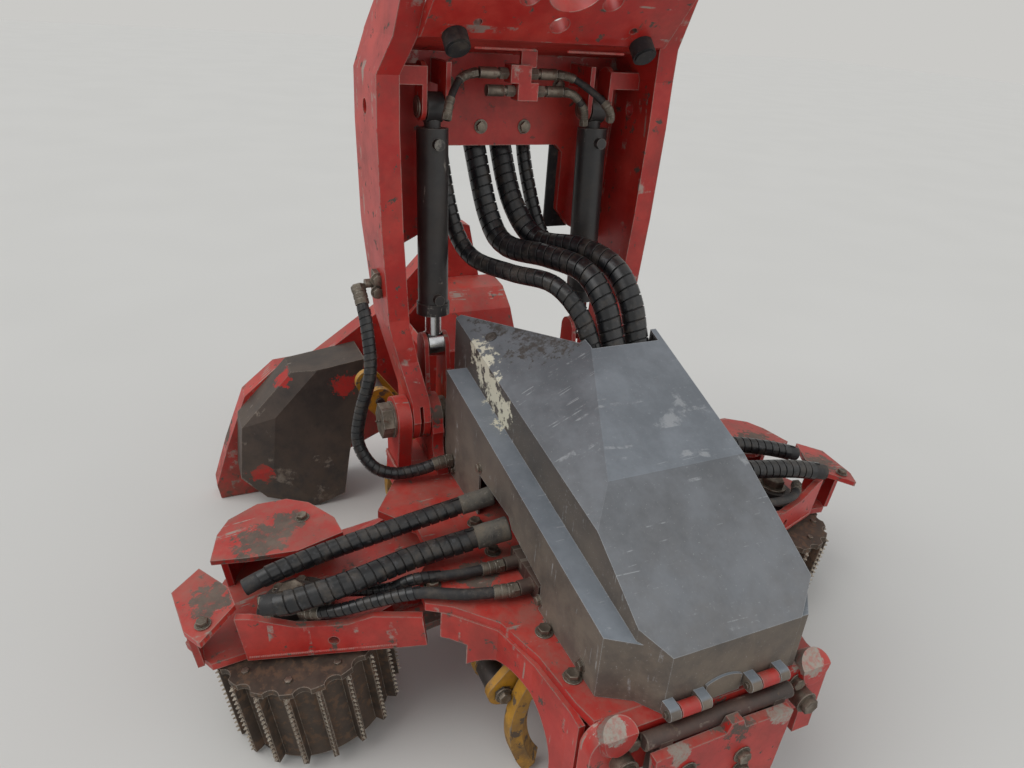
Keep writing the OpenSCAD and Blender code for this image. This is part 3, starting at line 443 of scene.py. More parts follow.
@dataclass(frozen=True)
class Rubber:
    """Black rubber or plastic: satin, scuffed grey on its crowns, with brown dust in patches."""

    name: str
    colour: str = "#18191b"
    cloud: str = "#2a2b2d"
    scuff: str = "#4c4c4f"
    dust: str = "#6a5e51"
    dust_share: float = 0.35
    rough: float = 0.36

    def material(self) -> bpy.types.Material:
        """Lays the paler clouds, the scuffs and the dust.

        Returns:
            The material.
        """
        s = Surface(self.name, self.colour, self.rough, grain_mm=4)
        s.lay(self.cloud, self.rough + 0.08, s.patches(70, 0.45, 0.75))
        s.lay(self.scuff, 0.6, s.patches(14, 0.56, 0.70, detail=6), 0.7)
        s.lay(self.dust, 0.85, s.patches(40, 0.45, 0.75), self.dust_share)
        return s.finish(0.15)


def activate(piece: bpy.types.Object) -> None:
    """Makes one object the only selected and the active one.

    Args:
        piece: The object.
    """
    if bpy.context.object is not None and bpy.context.object.mode != "OBJECT":
        bpy.ops.object.mode_set(mode="OBJECT")
    bpy.ops.object.select_all(action="DESELECT")
    piece.select_set(True)
    bpy.context.view_layer.objects.active = piece


def modify(piece: bpy.types.Object, kind: str, **settings: object) -> None:
    """Puts a modifier on a piece and applies it.

    Args:
        piece: The piece.
        kind: The modifier's type.
        settings: Its settings.
    """
    activate(piece)
    modifier = piece.modifiers.new(kind.title(), kind)
    for key, value in settings.items():
        setattr(modifier, key, value)
    bpy.ops.object.modifier_apply(modifier=modifier.name)


def smooth(piece: bpy.types.Object, degrees: float) -> None:
    """Shades a piece smooth, but keeps edges sharper than degrees sharp."""
    activate(piece)
    bpy.ops.object.shade_smooth_by_angle(angle=math.radians(degrees))


def paint(piece: bpy.types.Object, finish: bpy.types.Material) -> bpy.types.Object:
    """Gives a piece its material in place of any it has.

    Args:
        piece: The piece.
        finish: Its material.

    Returns:
        The same piece.
    """
    piece.data.materials.clear()
    piece.data.materials.append(finish)
    return piece


def join(name: str, parts: list[bpy.types.Object]) -> bpy.types.Object:
    """Joins parts into one object.

    Args:
        name: The joined piece's name.
        parts: The parts, all at the origin.

    Returns:
        The joined piece.
    """
    activate(parts[0])
    for part in parts[1:]:
        part.select_set(True)
    if len(parts) > 1:
        bpy.ops.object.join()
    parts[0].name = name
    return parts[0]


def spread(source: bpy.types.Object, places: Iterable[Matrix]) -> list[bpy.types.Object]:
    """Copies a piece that was modelled at the origin to each place.

    Args:
        source: The piece; it is used up.
        places: Where each copy goes.

    Returns:
        The copies, each with its own mesh.
    """
    made = []
    for place in places:
        twin = source.copy()
        twin.data = source.data.copy()
        twin.data.transform(place)
        bpy.context.scene.collection.objects.link(twin)
        made.append(twin)
    bpy.data.objects.remove(source)
    return made


def settle(piece: bpy.types.Object, body: str) -> None:
    """Lets a finished piece ride on its body and reports it.

    Args:
        piece: The piece.
        body: The body that it rides on.
    """
    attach(piece, body)
    log.info("%s rides on %s, %d faces", piece.name, body, len(piece.data.polygons))


def turned(profile: Sequence[Point], steps: int, pitch: float = 0.0, turns: int = 1) -> bpy.types.Object:
    """Turns a profile about X, or winds it into a spiral.

    Args:
        profile: Distance along X and radius in mm of each point. It starts and ends on the axis,
            or ends where it starts, so that the piece is closed.
        steps: Sides of one turn.
        pitch: Advance of one turn in mm; 0 closes the turn.
        turns: Number of turns.

    Returns:
        The turned piece.
    """
    bpy.ops.object.select_all(action="DESELECT")
    bpy.ops.mesh.primitive_plane_add(size=0.001)
    piece = bpy.context.object
    bpy.ops.object.mode_set(mode="EDIT")
    bpy.ops.mesh.select_mode(type="VERT")
    bpy.ops.mesh.select_all(action="SELECT")
    bpy.ops.mesh.merge(type="CENTER")
    x, r = profile[0]
    bpy.ops.transform.translate(value=(x / 1000, 0, r / 1000))
    for next_x, next_r in profile[1:]:
        step = ((next_x - x) / 1000, 0, (next_r - r) / 1000)
        bpy.ops.mesh.extrude_vertices_move(TRANSFORM_OT_translate={"value": step})
        x, r = next_x, next_r
    bpy.ops.object.mode_set(mode="OBJECT")
    modify(piece, "SCREW", axis="X", steps=steps, render_steps=steps, screw_offset=pitch / 1000,
           iterations=turns, use_merge_vertices=pitch == 0, merge_threshold=SAME_PLACE)
    bpy.ops.object.mode_set(mode="EDIT")
    bpy.ops.mesh.select_all(action="SELECT")
    bpy.ops.mesh.remove_doubles(threshold=SAME_PLACE)
    if pitch:
        bpy.ops.mesh.fill_holes(sides=0)
    bpy.ops.mesh.normals_make_consistent(inside=False)
    bpy.ops.object.mode_set(mode="OBJECT")
    return piece


def facing(point: Point, axis: Point, spin: float = 0.0) -> Matrix:
    """Place whose +Z looks along an axis.

    Args:
        point: The place in mm from the tilt pivot.
        axis: Direction of +Z.
        spin: Turn about the axis in degrees.

    Returns:
        The matrix of the place.
    """
    turn = Vector(axis).to_track_quat("Z", "Y").to_matrix().to_4x4()
    return Matrix.Translation(metres(point)) @ turn @ Matrix.Rotation(math.radians(spin), 4, "Z")


def on_arm(side: int, u: float, v: float, w: float, spin: float = 0.0) -> Matrix:
    """Place on a roller arm, square to its floor plate.

    Args:
        side: 1 for the right arm, -1 for the left.
        u: Distance along the head in mm from the tilt pivot.
        v: Distance outwards from the arm's hinge in mm.
        w: Height above the hinge, square to the arm, in mm.
        spin: Turn about the place's +Z in degrees.

    Returns:
        The matrix of the place.
    """
    hinge_y, hinge_z = ARM_HINGE
    hinge = Matrix.Translation(metres((0, side * hinge_y, hinge_z)))
    shift = Matrix.Translation(Vector((u, side * v, w)) / 1000)
    turn = Matrix.Rotation(math.radians(spin), 4, "Z")
    return hinge @ Matrix.Rotation(-side * ARM_SLOPE, 4, "X") @ shift @ turn


def surface(node: str, point: Point, towards: Point) -> tuple[Vector, Vector]:
    """Where a line from a point first meets a CAD node.

    Args:
        node: The node's name.
        point: Start in mm from the tilt pivot.
        towards: Direction.

    Returns:
        The place in mm from the tilt pivot and the face's normal.

    Raises:
        ValueError: The line misses the node.
    """
    met, place, normal, _ = frame["nodes"][node].ray_cast(metres(point), Vector(towards).normalized())
    if not met:
        raise ValueError(f"no face of {node} from {point} towards {towards}")
    return Vector((place.x * 1000 + ORIGIN_X, place.y * 1000, place.z * 1000)), normal


@dataclass(frozen=True)
class Bolt:
    """Hex bolt head with a dished top, on its washer, standing on z 0.

    All the sizes but the first are shares of the thread size.
    """

    size: float
    washer: bool = True
    corner: float = 0.9
    height: float = 0.62
    washer_radius: float = 1.18
    washer_height: float = 0.16
    chamfer: tuple[float, float] = (0.12, 0.06)
    dish: tuple[float, float] = (0.14, -0.05)
    head_rim: float = 0.04
    washer_rim: float = 0.03

    def drum(self, sides: int, radius: float, bottom: float, height: float) -> bpy.types.Object:
        """Straight drum that stands on a height above z 0.

        Args:
            sides: Number of its sides.
            radius: Radius to its corners.
            bottom: Height of its foot.
            height: Its own height.

        Returns:
            The drum.
        """
        unit = self.size / 1000
        bpy.ops.object.select_all(action="DESELECT")
        bpy.ops.mesh.primitive_cylinder_add(
            vertices=sides, radius=radius * unit, depth=height * unit,
            location=(0, 0, (bottom + height / 2) * unit))
        bpy.ops.object.transform_apply(location=True)
        return bpy.context.object

    def build(self, steel: bpy.types.Material) -> bpy.types.Object:
        """Models the bolt.

        Args:
            steel: Its finish.

        Returns:
            The bolt.
        """
        unit = self.size / 1000
        foot = self.washer_height if self.washer else 0.0
        head = self.drum(6, self.corner, foot, self.height)
        for face in head.data.polygons:
            face.select = face.center.z > (foot + self.height) * unit - SAME_PLACE
        for edge in head.data.edges:
            edge.select = False
        bpy.ops.object.mode_set(mode="EDIT")
        bpy.ops.mesh.select_mode(type="FACE")
        for width, rise in (self.chamfer, self.dish):
            bpy.ops.mesh.inset(thickness=width * unit, depth=rise * unit)
        bpy.ops.object.mode_set(mode="OBJECT")
        modify(head, "BEVEL", width=self.head_rim * unit, segments=2, limit_method="ANGLE",
               angle_limit=0.6)
        parts = [head]
        if self.washer:
            ring = self.drum(24, self.washer_radius, 0, self.washer_height)
            modify(ring, "BEVEL", width=self.washer_rim * unit, segments=1, limit_method="ANGLE")
            parts.append(ring)
        made = join("bolt", parts)
        smooth(made, 30)
        return paint(made, steel)


@dataclass(frozen=True)
class Weld:
    """Weld bead of overlapping flat drops between two points, in mm from the tilt pivot."""

    start: Point
    end: Point
    width: float
    overlap: float = 0.42
    squeeze: tuple[float, float, float] = (0.7, 1.0, 0.8)

    def on(self, side: int) -> "Weld":
        """The bead as given (1), or mirrored to the left side of the head (-1)."""
        (x1, y1, z1), (x2, y2, z2) = self.start, self.end
        return replace(self, start=(x1, side * y1, z1), end=(x2, side * y2, z2))

    def build(self, steel: bpy.types.Material) -> bpy.types.Object:
        """Models the bead.

        Args:
            steel: Its finish.

        Returns:
            The bead.
        """
        a, b = metres(self.start), metres(self.end)
        count = max(3, int((b - a).length * 1000 / (self.width * self.overlap)))
        bpy.ops.object.select_all(action="DESELECT")
        bpy.ops.mesh.primitive_uv_sphere_add(segments=8, ring_count=5, radius=self.width / 2000)
        bead = bpy.context.object
        bpy.ops.transform.resize(value=self.squeeze)
        bpy.ops.object.transform_apply(scale=True)
        modify(bead, "ARRAY", count=count, use_relative_offset=False, use_constant_offset=True,
               constant_offset_displace=((b - a).length / (count - 1), 0, 0))
        bead.data.transform(Matrix.Translation(a) @ (b - a).to_track_quat("X", "Z").to_matrix().to_4x4())
        smooth(bead, 60)
        return paint(bead, steel)


@dataclass(frozen=True)
class Plate:
    """Flame-cut plate: a box in mm, with parts sawn off and all its rims eased.

    Each cut is a point in mm and the outward normal of the sawn side.
    """

    low: Point
    high: Point
    cuts: tuple[tuple[Point, Point], ...] = ()
    rim: float = 1.5

    def build(self) -> bpy.types.Object:
        """Models the plate, still without a finish.

        Returns:
            The plate.
        """
        size = [(b - a) / 1000 for a, b in zip(self.low, self.high)]
        middle = [(a + b) / 2000 for a, b in zip(self.low, self.high)]
        bpy.ops.object.select_all(action="DESELECT")
        bpy.ops.mesh.primitive_cube_add(size=1, location=middle, scale=size)
        made = bpy.context.object
        bpy.ops.object.transform_apply(location=True, scale=True)
        bpy.ops.object.mode_set(mode="EDIT")
        for point, normal in self.cuts:
            bpy.ops.mesh.select_all(action="SELECT")
            bpy.ops.mesh.bisect(plane_co=Vector(point) / 1000, plane_no=normal, use_fill=True,
                                clear_outer=True)
        bpy.ops.object.mode_set(mode="OBJECT")
        modify(made, "BEVEL", width=self.rim / 1000, segments=2, limit_method="ANGLE")
        smooth(made, 40)
        return made


class HoseEnd(Enum):
    """How a hose ends."""

    BARE = "bare rubber"
    CRIMP = "crimped steel fitting"
    SLEEVE = "loose pale sleeve"


@dataclass(frozen=True)
class HoseLook:
    """Finishes of the hoses."""

    # The spiral guard: smooth black plastic with soft gloss and grey scuffs.
    wrap: bpy.types.Material = field(default_factory=lambda: Rubber(
        "black_spiral_wrap", rough=0.28).material())
    # The hose under it: matt rubber with dust in the gaps of the guard.
    rubber: bpy.types.Material = field(default_factory=lambda: Rubber(
        "bare_hose_rubber", colour="#212021", scuff="#4b4743", dust_share=0.45, rough=0.6).material())
    # The loose sleeves at the cover: worn woven cloth, grey-brown.
    sleeve: bpy.types.Material = field(default_factory=lambda: Rubber(
        "pale_woven_sleeve", colour="#5f5a52", scuff="#8a8377", dust="#7b6d5b", dust_share=0.6,
        rough=0.8).material())
    # The crimped ends: zinc-plated steel, dulled.
    steel: bpy.types.Material = field(default_factory=lambda: Steel(
        "zinc_plated_fitting", colour="#7c7468", second="#5d554b", metal=0.7, rough=0.45).material())


@dataclass(frozen=True)
class Hose:
    """Hydraulic hose in its spiral guard, laid along the route of its solid.

    The bend, the stretch over which the hose would turn from its body to the other one, is not used.
    Bare is the length in mm at each end that the guard leaves free, and core the hose's share of the radius.
    """

    name: str
    route: tuple[Point, ...]
    radius: float
    body: str
    node: str
    other: str = ""
    bend: tuple[Point, Point] = ((0, 0, 0), (0, 0, 1))
    start: HoseEnd = HoseEnd.BARE
    end: HoseEnd = HoseEnd.BARE
    pitch: float = 22.0
    bare: tuple[float, float] = (30.0, 30.0)
    wrapped: bool = True
    free: bool = True
    core: float = 0.86
    step: float = 8.0
    ring: float = 12.0
    thick_from: float = 15.0

    def line(self) -> list[Vector]:
        """The smooth line through the route.

        Returns:
            Its points in metres, about a step apart.
        """
        p = [Vector(q) for q in self.route]
        made = [metres(p[0])]
        for i in range(len(p) - 1):
            a, b, c, d = p[max(0, i - 1)], p[i], p[i + 1], p[min(len(p) - 1, i + 2)]
            n = max(2, int((c - b).length / self.step))
            for k in range(1, n + 1):
                t = k / n
                q = 0.5 * (2 * b + (c - a) * t + (2 * a - 5 * b + 4 * c - d) * t * t
                           + (3 * b - a - 3 * c + d) * t * t * t)
                made.append(metres(q))
        return made

    def tube(self, length: float, rubber: bpy.types.Material) -> bpy.types.Object:
        """The hose itself, straight along X, with eased ends.

        Args:
            length: Its length in mm.
            rubber: Its finish.

        Returns:
            The closed tube.
        """
        r = self.radius * self.core
        count = int(length / self.ring)
        profile = [(0, 0), (0, r - 1), (1, r)]
        profile += [(length * k / count, r) for k in range(1, count)]
        profile += [(length - 1, r), (length, r - 1), (length, 0)]
        return paint(turned(profile, 20 if self.radius > self.thick_from else 14), rubber)

    def guard(self, length: float, plastic: bpy.types.Material) -> bpy.types.Object:
        """Spiral guard: one flat band wound along the hose, with a narrow gap between its turns.

        Args:
            length: Length of the hose in mm.
            plastic: The band's finish.

        Returns:
            The band, closed at both ends.
        """
        r, p = self.radius, self.pitch
        low, corner = r * self.core - 0.6, r - 0.7
        band = [(0, low), (0, corner), (0.03 * p, r), (0.86 * p, r), (0.89 * p, corner), (0.89 * p, low),
                (0, low)]
        turns = int((length - sum(self.bare)) / p)
        made = turned(band, 22 if r > self.thick_from else 16, p, turns)
        made.data.transform(Matrix.Translation((self.bare[0] / 1000, 0, 0)))
        return paint(made, plastic)

    def fitting(self, kind: HoseEnd, look: HoseLook) -> list[bpy.types.Object]:
        """Parts of one end, from x 0 along the hose.

        Args:
            kind: How the hose ends.
            look: The finishes of the hoses.

        Returns:
            The parts.
        """
        r = self.radius
        inner = r * self.core
        if kind is HoseEnd.CRIMP:
            ferrule = [(2, 0), (2, r * 0.6), (10, r * 0.6), (10, r * 0.98), (12, r * 1.08)]
            for groove in (20, 34):
                ferrule += [(groove, r * 1.08), (groove + 1, r), (groove + 4, r), (groove + 5, r * 1.08)]
            ferrule += [(50, r * 1.06), (51, inner), (51, 0)]
            nut = [(0, 0), (0, r), (2, r * 1.16), (14, r * 1.16), (16, r), (16, 0)]
            return [paint(turned(ferrule, 24), look.steel), paint(turned(nut, 6), look.steel)]
        if kind is HoseEnd.SLEEVE:
            tube = [(1, 0), (1, r * 1.02), (4, r * 1.09), (30, r * 1.05), (52, r * 1.08), (70, r * 1.03),
                    (76, r * 1.06), (77, r * 0.95), (78, inner), (78, 0)]
            return [paint(turned(tube, 24), look.sleeve)]
        return []

    def lay(self, piece: bpy.types.Object, line: list[Vector]) -> None:
        """Bends a straight piece along a line.

        Args:
            piece: The piece, straight along X.
            line: Points of the line in metres.
        """
        guide_data = bpy.data.curves.new(self.name + "_line", "CURVE")
        guide_data.dimensions = "3D"
        guide_data.twist_mode = "MINIMUM"
        spline = guide_data.splines.new("POLY")
        spline.points.add(len(line) - 1)
        for k, q in enumerate(line):
            spline.points[k].co = (*q, 1)
        guide = bpy.data.objects.new(self.name + "_line", guide_data)
        bpy.context.scene.collection.objects.link(guide)
        modify(piece, "CURVE", object=guide, deform_axis="POS_X")
        bpy.data.objects.remove(guide)

    def build(self, look: HoseLook) -> None:
        """Models the hose straight along X and lays it along its line; a hose between two bodies is baked in
        place without a body, any other rides on its body.

        Args:
            look: The finishes of the hoses.
        """
        line = self.line()
        length = sum((b - a).length for a, b in zip(line, line[1:])) * 1000
        parts = [self.tube(length, look.rubber)]
        if self.wrapped:
            parts.append(self.guard(length, look.wrap))
        parts += self.fitting(self.start, look)
        turn_back = Matrix.Translation((length / 1000, 0, 0)) @ Matrix.Rotation(math.pi, 4, "Z")
        for part in self.fitting(self.end, look):
            part.data.transform(turn_back)
            parts.append(part)
        made = join(self.name, parts)
        smooth(made, 28)
        self.lay(made, line)
        if self.other:
            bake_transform(made)
        else:
            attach(made, self.body)
        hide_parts(self.node)
        log.info("%s: %.0f mm long", self.name, length)


@dataclass(frozen=True)
class Hoses:
    """All hydraulic lines of the head, on the same routes as their solids."""

    row_x: float = -60.0
    over_top: tuple[Point, Point] = ((200, 0, 900), (-235, 0, 1195))
    round_clevis: tuple[Point, Point] = ((100, -300, 440), (-20, -404, 800))
    to_left: tuple[Point, Point] = ((400, -260, 440), (400, -500, 420))
    to_right: tuple[Point, Point] = ((400, 260, 440), (400, 500, 420))

    def main_lines(self) -> list[Hose]:
        """Lines from the shelf behind the link over the chute into the cover.

        Returns:
            The lines, from left to right.
        """
        common = {"body": "frame", "other": "link", "bend": self.over_top, "node": "hoses_main",
                  "start": HoseEnd.CRIMP, "pitch": 25.0}
        return [
            Hose("hose_main_1", (
                (-262, -150, 1238), (-228, -149, 1150), (-160, -136, 1000), (-90, -106, 922), (40, -52, 917),
                (160, 4, 924), (240, 40, 874), (286, 57, 800), (330, 57, 750)), 22, bare=(51, 60), **common),
            Hose("hose_main_2", (
                (-262, -62, 1262), (-226, -55, 1170), (-158, -35, 1010), (-85, -12, 948), (50, 45, 955),
                (160, 88, 948), (236, 106, 890), (284, 113, 806), (330, 114, 752)),
                29, bare=(51, 30), **common),
            Hose("hose_main_3", (
                (-262, 20, 1262), (-226, 18, 1170), (-150, 30, 1040), (-70, 70, 962), (60, 126, 974),
                (170, 160, 958), (240, 174, 896), (284, 178, 808), (330, 178, 754)),
                29, bare=(51, 30), **common),
            Hose("hose_main_4", (
                (-262, 90, 1250), (-232, 90, 1150), (-190, 96, 1060), (-150, 104, 990), (-110, 120, 930),
                (-90, 128, 880)), 19, bare=(51, 20), **common),
        ]

    def link_lines(self) -> list[Hose]:
        """Short lines from the couplings to the tilt cylinders.

        Returns:
            The lines.
        """
        x = self.row_x
        common = {"radius": 10, "body": "link", "node": "hoses_link", "start": HoseEnd.CRIMP,
                  "end": HoseEnd.CRIMP, "wrapped": False, "free": False}
        return [
            Hose("hose_link_1", (
                (x, 81, 1366), (x, 128, 1358), (x + 30, 176, 1326), (x + 56, 204, 1294), (x + 50, 212, 1268)),
                **common),
            Hose("hose_link_2", (
                (x, 101, 1328), (x, 134, 1320), (x + 6, 160, 1290), (x + 4, 166, 1250)), **common),
            Hose("hose_link_3", (
                (x, -121, 1366), (x, -160, 1354), (x + 34, -196, 1316), (x + 50, -212, 1268)), **common),
        ]

    def loop(self) -> Hose:
        """Line that hangs in a loop round the left clevis.

        Returns:
            The line.
        """
        return Hose("hose_loop_left", (
            (-67, -409, 878), (-10, -404, 800), (36, -408, 690), (44, -436, 590), (56, -448, 512),
            (84, -420, 452), (104, -370, 432), (116, -310, 438), (120, -262, 450), (120, -240, 452),
            (120, -222, 452)), 16, "frame", "hose_loop", "link", self.round_clevis,
            HoseEnd.CRIMP, HoseEnd.CRIMP, pitch=17.0, bare=(50, 50))

    def left_lines(self) -> list[Hose]:
        """Lines from the cover and the valve block to the left arm.

        Returns:
            The lines, from rear to front at the cover, the thick ones first.
        """
        common = {"body": "frame", "other": "arm_left", "bend": self.to_left, "node": "hoses_left"}
        return [
            Hose("hose_left_1", (
                (352, -208, 494), (346, -300, 476), (344, -450, 451), (342, -600, 424), (352, -710, 406),
                (355, -764, 388)), 21, start=HoseEnd.SLEEVE, bare=(76, 30), **common),
            Hose("hose_left_2", (
                (452, -208, 474), (442, -300, 456), (438, -430, 438), (452, -560, 424), (446, -680, 404),
                (426, -736, 394)), 25, start=HoseEnd.SLEEVE, bare=(76, 30), **common),
            Hose("hose_left_3", (
                (592, -248, 429), (591, -268, 429), (570, -350, 426), (528, -440, 422), (496, -520, 398),
                (472, -600, 376), (422, -662, 348)), 14, start=HoseEnd.CRIMP, end=HoseEnd.CRIMP,
                pitch=15.0, bare=(200, 50), **common),
            Hose("hose_left_4", (
                (506, -242, 422), (506, -262, 422), (502, -340, 422), (484, -434, 420), (456, -486, 386),
                (420, -560, 374), (390, -640, 366), (368, -740, 352)), 13, start=HoseEnd.CRIMP,
                end=HoseEnd.CRIMP, pitch=14.0, bare=(140, 50), **common),
        ]

    def right_lines(self) -> list[Hose]:
        """Lines from the cover to the right arm.

        Returns:
            The lines, from rear to front at the cover.
        """
        common = {"body": "frame", "other": "arm_right", "bend": self.to_right, "node": "hoses_right"}
        return [
            Hose("hose_right_1", (
                (282, 206, 454), (268, 400, 452), (270, 540, 444), (300, 664, 426), (324, 762, 400)),
                22, **common),
            Hose("hose_right_2", (
                (370, 206, 458), (378, 400, 452), (390, 540, 434), (404, 670, 418), (416, 780, 392)),
                25, **common),
            Hose("hose_right_3", (
                (470, 206, 430), (474, 330, 424), (478, 434, 421), (476, 520, 388), (468, 600, 374),
                (444, 660, 362), (392, 716, 350)), 13, end=HoseEnd.CRIMP, wrapped=False, **common),
        ]

    def build(self) -> None:
        """Models every line."""
        look = HoseLook()
        lines = [*self.main_lines(), *self.link_lines(), self.loop(), *self.left_lines(), *self.right_lines()]
        for hose in lines:
            hose.build(look)


@dataclass(frozen=True)
class FeedRoller:
    """Teeth and fasteners of one side roller and the bolts of its motor.

    Heights are square to the arm, above its hinge.
    """

    side: int
    name: str
    x: float = 352.0
    reach: float = 365.0
    top: float = -44.0
    length: float = 226.0
    radius: float = 188.0
    ribs: int = 18
    teeth: int = 15
    first_tooth: float = 18.0
    last_gap: float = 16.0
    tooth_out: float = 2.5
    tooth_foot: float = 5.2
    tooth_tip: float = 1.6
    tooth_height: float = 8.0
    buttons: int = 9
    button_ring: float = 150.0
    motor_bolts: int = 8
    motor_ring: float = 67.0
    motor_top: float = 21.8
    cap_top: float = 39.8

    def place(self, w: float, spin: float = 0.0) -> Matrix:
        """Place on the roller's axis, w above the hinge and turned by spin degrees."""
        return on_arm(self.side, self.x, self.reach, w, spin)

    def ring(self, count: int, first: float, w: float, radius: float) -> list[Matrix]:
        """Places round the roller's axis.

        Args:
            count: Number of places.
            first: Turn of the first one in degrees.
            w: Their height above the hinge.
            radius: Radius of the ring.

        Returns:
            The places.
        """
        out = Matrix.Translation((radius / 1000, 0, 0))
        return [self.place(w, first + k * 360 / count) @ out for k in range(count)]

    def teeth_rows(self, steel: bpy.types.Material) -> bpy.types.Object:
        """Rows of small pointed teeth along every rib.

        Args:
            steel: Their finish.

        Returns:
            All the teeth, as one piece.
        """
        bpy.ops.object.select_all(action="DESELECT")
        bpy.ops.mesh.primitive_cone_add(
            vertices=4, radius1=self.tooth_foot / 1000, radius2=self.tooth_tip / 1000,
            depth=self.tooth_height / 1000,
            location=((self.radius + self.tooth_out) / 1000, 0, self.first_tooth / 1000),
            rotation=(0, math.pi / 2, 0))
        tooth = bpy.context.object
        bpy.ops.object.transform_apply(location=True, rotation=True)
        step = (self.length - self.first_tooth - self.last_gap) / (self.teeth - 1) / 1000
        modify(tooth, "ARRAY", count=self.teeth, use_relative_offset=False, use_constant_offset=True,
               constant_offset_displace=(0, 0, step))
        rows = spread(tooth, self.ring(self.ribs, 0, self.top - self.length, 0))
        return paint(join(f"roller_teeth_{self.name}", rows), steel)

    def build(self, look: "Finishes") -> None:
        """Adds the teeth, the rim's buttons and the motor's bolts.

        Args:
            look: The head's finishes.
        """
        settle(self.teeth_rows(look.tooth), f"roller_{self.name}")
        places = self.ring(self.buttons, 20, self.top - 0.7, self.button_ring)
        rim = join(f"roller_buttons_{self.name}", spread(Bolt(9, washer=False).build(look.pin), places))
        settle(rim, f"roller_{self.name}")
        places = self.ring(self.motor_bolts, 22, self.motor_top, self.motor_ring)
        bolts = spread(Bolt(13).build(look.pin), places)
        bolts += spread(Bolt(34).build(look.pin), [self.place(self.cap_top)])
        settle(join(f"motor_bolts_{self.name}", bolts), f"arm_{self.name}")


@dataclass(frozen=True)
class RollerArm:
    """Bolts and weld beads of one roller arm.

    A bolt is at u along the head, v out from the hinge and w above it. A bead runs between two
    such points.
    """

    side: int
    name: str
    bolts: tuple[Point, ...] = ((420, 540, 111.8), (180, 300, 109.8))
    rib_beads: tuple[float, ...] = (149, 167, 419, 437)
    beads: tuple[tuple[Point, Point], ...] = (
        ((525, 190, -20), (416, 478, -20)), ((108, 34, -22), (496, 34, -22)))

    def bead(self, start: Point, end: Point, width: float, red: bpy.types.Material) -> bpy.types.Object:
        """Weld bead between two points of the arm.

        Args:
            start: First point.
            end: Last point.
            width: Width of the bead in mm.
            red: Its finish.

        Returns:
            The bead.
        """
        shift = Vector((ORIGIN_X, 0, 0))
        a, b = (on_arm(self.side, *point).translation * 1000 + shift for point in (start, end))
        return Weld(a, b, width).build(red)

    def build(self, look: "Finishes") -> None:
        """Adds the bolts on the plates and the beads along the ribs and the front web.

        Args:
            look: The head's finishes.
        """
        places = [on_arm(self.side, *spot, 17) for spot in self.bolts]
        bolts = join(f"arm_bolts_{self.name}", spread(Bolt(14).build(look.pin), places))
        settle(bolts, f"arm_{self.name}")
        beads = [self.bead((u, 46, -20), (u, 244, -20), 8, look.red) for u in self.rib_beads]
        beads += [self.bead(start, end, 9, look.red) for start, end in self.beads]
        settle(join(f"arm_welds_{self.name}", beads), f"arm_{self.name}")


@dataclass(frozen=True)
class FrameTrim:
    """Fasteners, grease nipples and weld beads of the frame.

    Deck bolts are x, y and turn in degrees, and stand on both sides; left bolts stand on the left only.
    """

    plate_x: float = 1009.0
    plate_bolts: tuple[Point, ...] = ((-96, 318), (30, 300), (34, 262))
    wall_bolt: Point = (956.2, 188, 372)
    deck_z: float = 405.0
    deck_bolts: tuple[Point, ...] = ((820, 236, 100), (700, 236, 340), (498, 400, 9))
    left_bolts: tuple[Point, ...] = ((330, -238, 20), (440, -238, 20))
    arm_pin_ends: tuple[Point, ...] = ((530, 1), (80, -1))
    nipples: tuple[float, ...] = (90, 514)
    pivot: Point = (0, 377, 529)
    welds: tuple[Weld, ...] = (
        Weld((-46, 346, 406), (46, 346, 406), 10),
        Weld((-94, 176, 406), (14, 176, 406), 9),
        Weld((18, 185, 406), (18, 246, 406), 9),
        Weld((-536, 162, 383), (-130, 162, 383), 8),
        Weld((120, 162, 383), (900, 162, 383), 8),
        Weld((-338, 152, 406), (-552, 152, 406), 6),
    )

    def build(self, look: "Finishes") -> None:
        """Adds the bolts, the pins' end caps, the beads and the grease nipples.

        Args:
            look: The head's finishes.
        """
        hinge_y, hinge_z = ARM_HINGE
        ahead, up = (1, 0, 0), (0, 0, 1)
        places = [facing((self.plate_x, y, z), ahead, 12) for y, z in self.plate_bolts]
        wall_x, wall_y, wall_z = self.wall_bolt
        places += [facing((wall_x, s * wall_y, wall_z), ahead, 30) for s in (-1, 1)]
        places += [facing((x, s * y, self.deck_z), up, spin)
                   for x, y, spin in self.deck_bolts for s in (-1, 1)]
        places += [facing((x, y, self.deck_z), up, spin) for x, y, spin in self.left_bolts]
        bolts = spread(Bolt(16).build(look.pin), places)
        caps = [facing((x, s * hinge_y, hinge_z), (way, 0, 0))
                for s in (-1, 1) for x, way in self.arm_pin_ends]
        bolts += spread(Bolt(22, washer=False).build(look.pin), caps)
        settle(join("frame_bolts", bolts), "frame")
        beads = [weld.on(s).build(look.red) for s in (-1, 1) for weld in self.welds]
        settle(join("frame_welds", beads), "frame")
        self.grease(look.pin)

    def grease(self, steel: bpy.types.Material) -> None:
        """Adds grease nipples on the pivot nuts and over the arms' pins.

        Args:
            steel: Their finish.
        """
        nipple = turned([(-1, 0), (-1, 3.6), (3, 3.6), (4, 2.6), (7, 2.4), (8, 3.1), (10, 2.9), (12, 1.4),
                         (12.5, 0)], 12)
        nipple.data.transform(UPRIGHT)
        smooth(paint(nipple, steel), 40)
        x, y, z = self.pivot
        hinge_y, hinge_z = ARM_HINGE
        places = [facing((x, s * y, z), (0, s, 0)) for s in (-1, 1)]
        places += [facing((x, s * hinge_y, hinge_z + 42), (0, 0, 1)) for s in (-1, 1) for x in self.nipples]
        settle(join("grease_nipples", spread(nipple, places)), "frame")


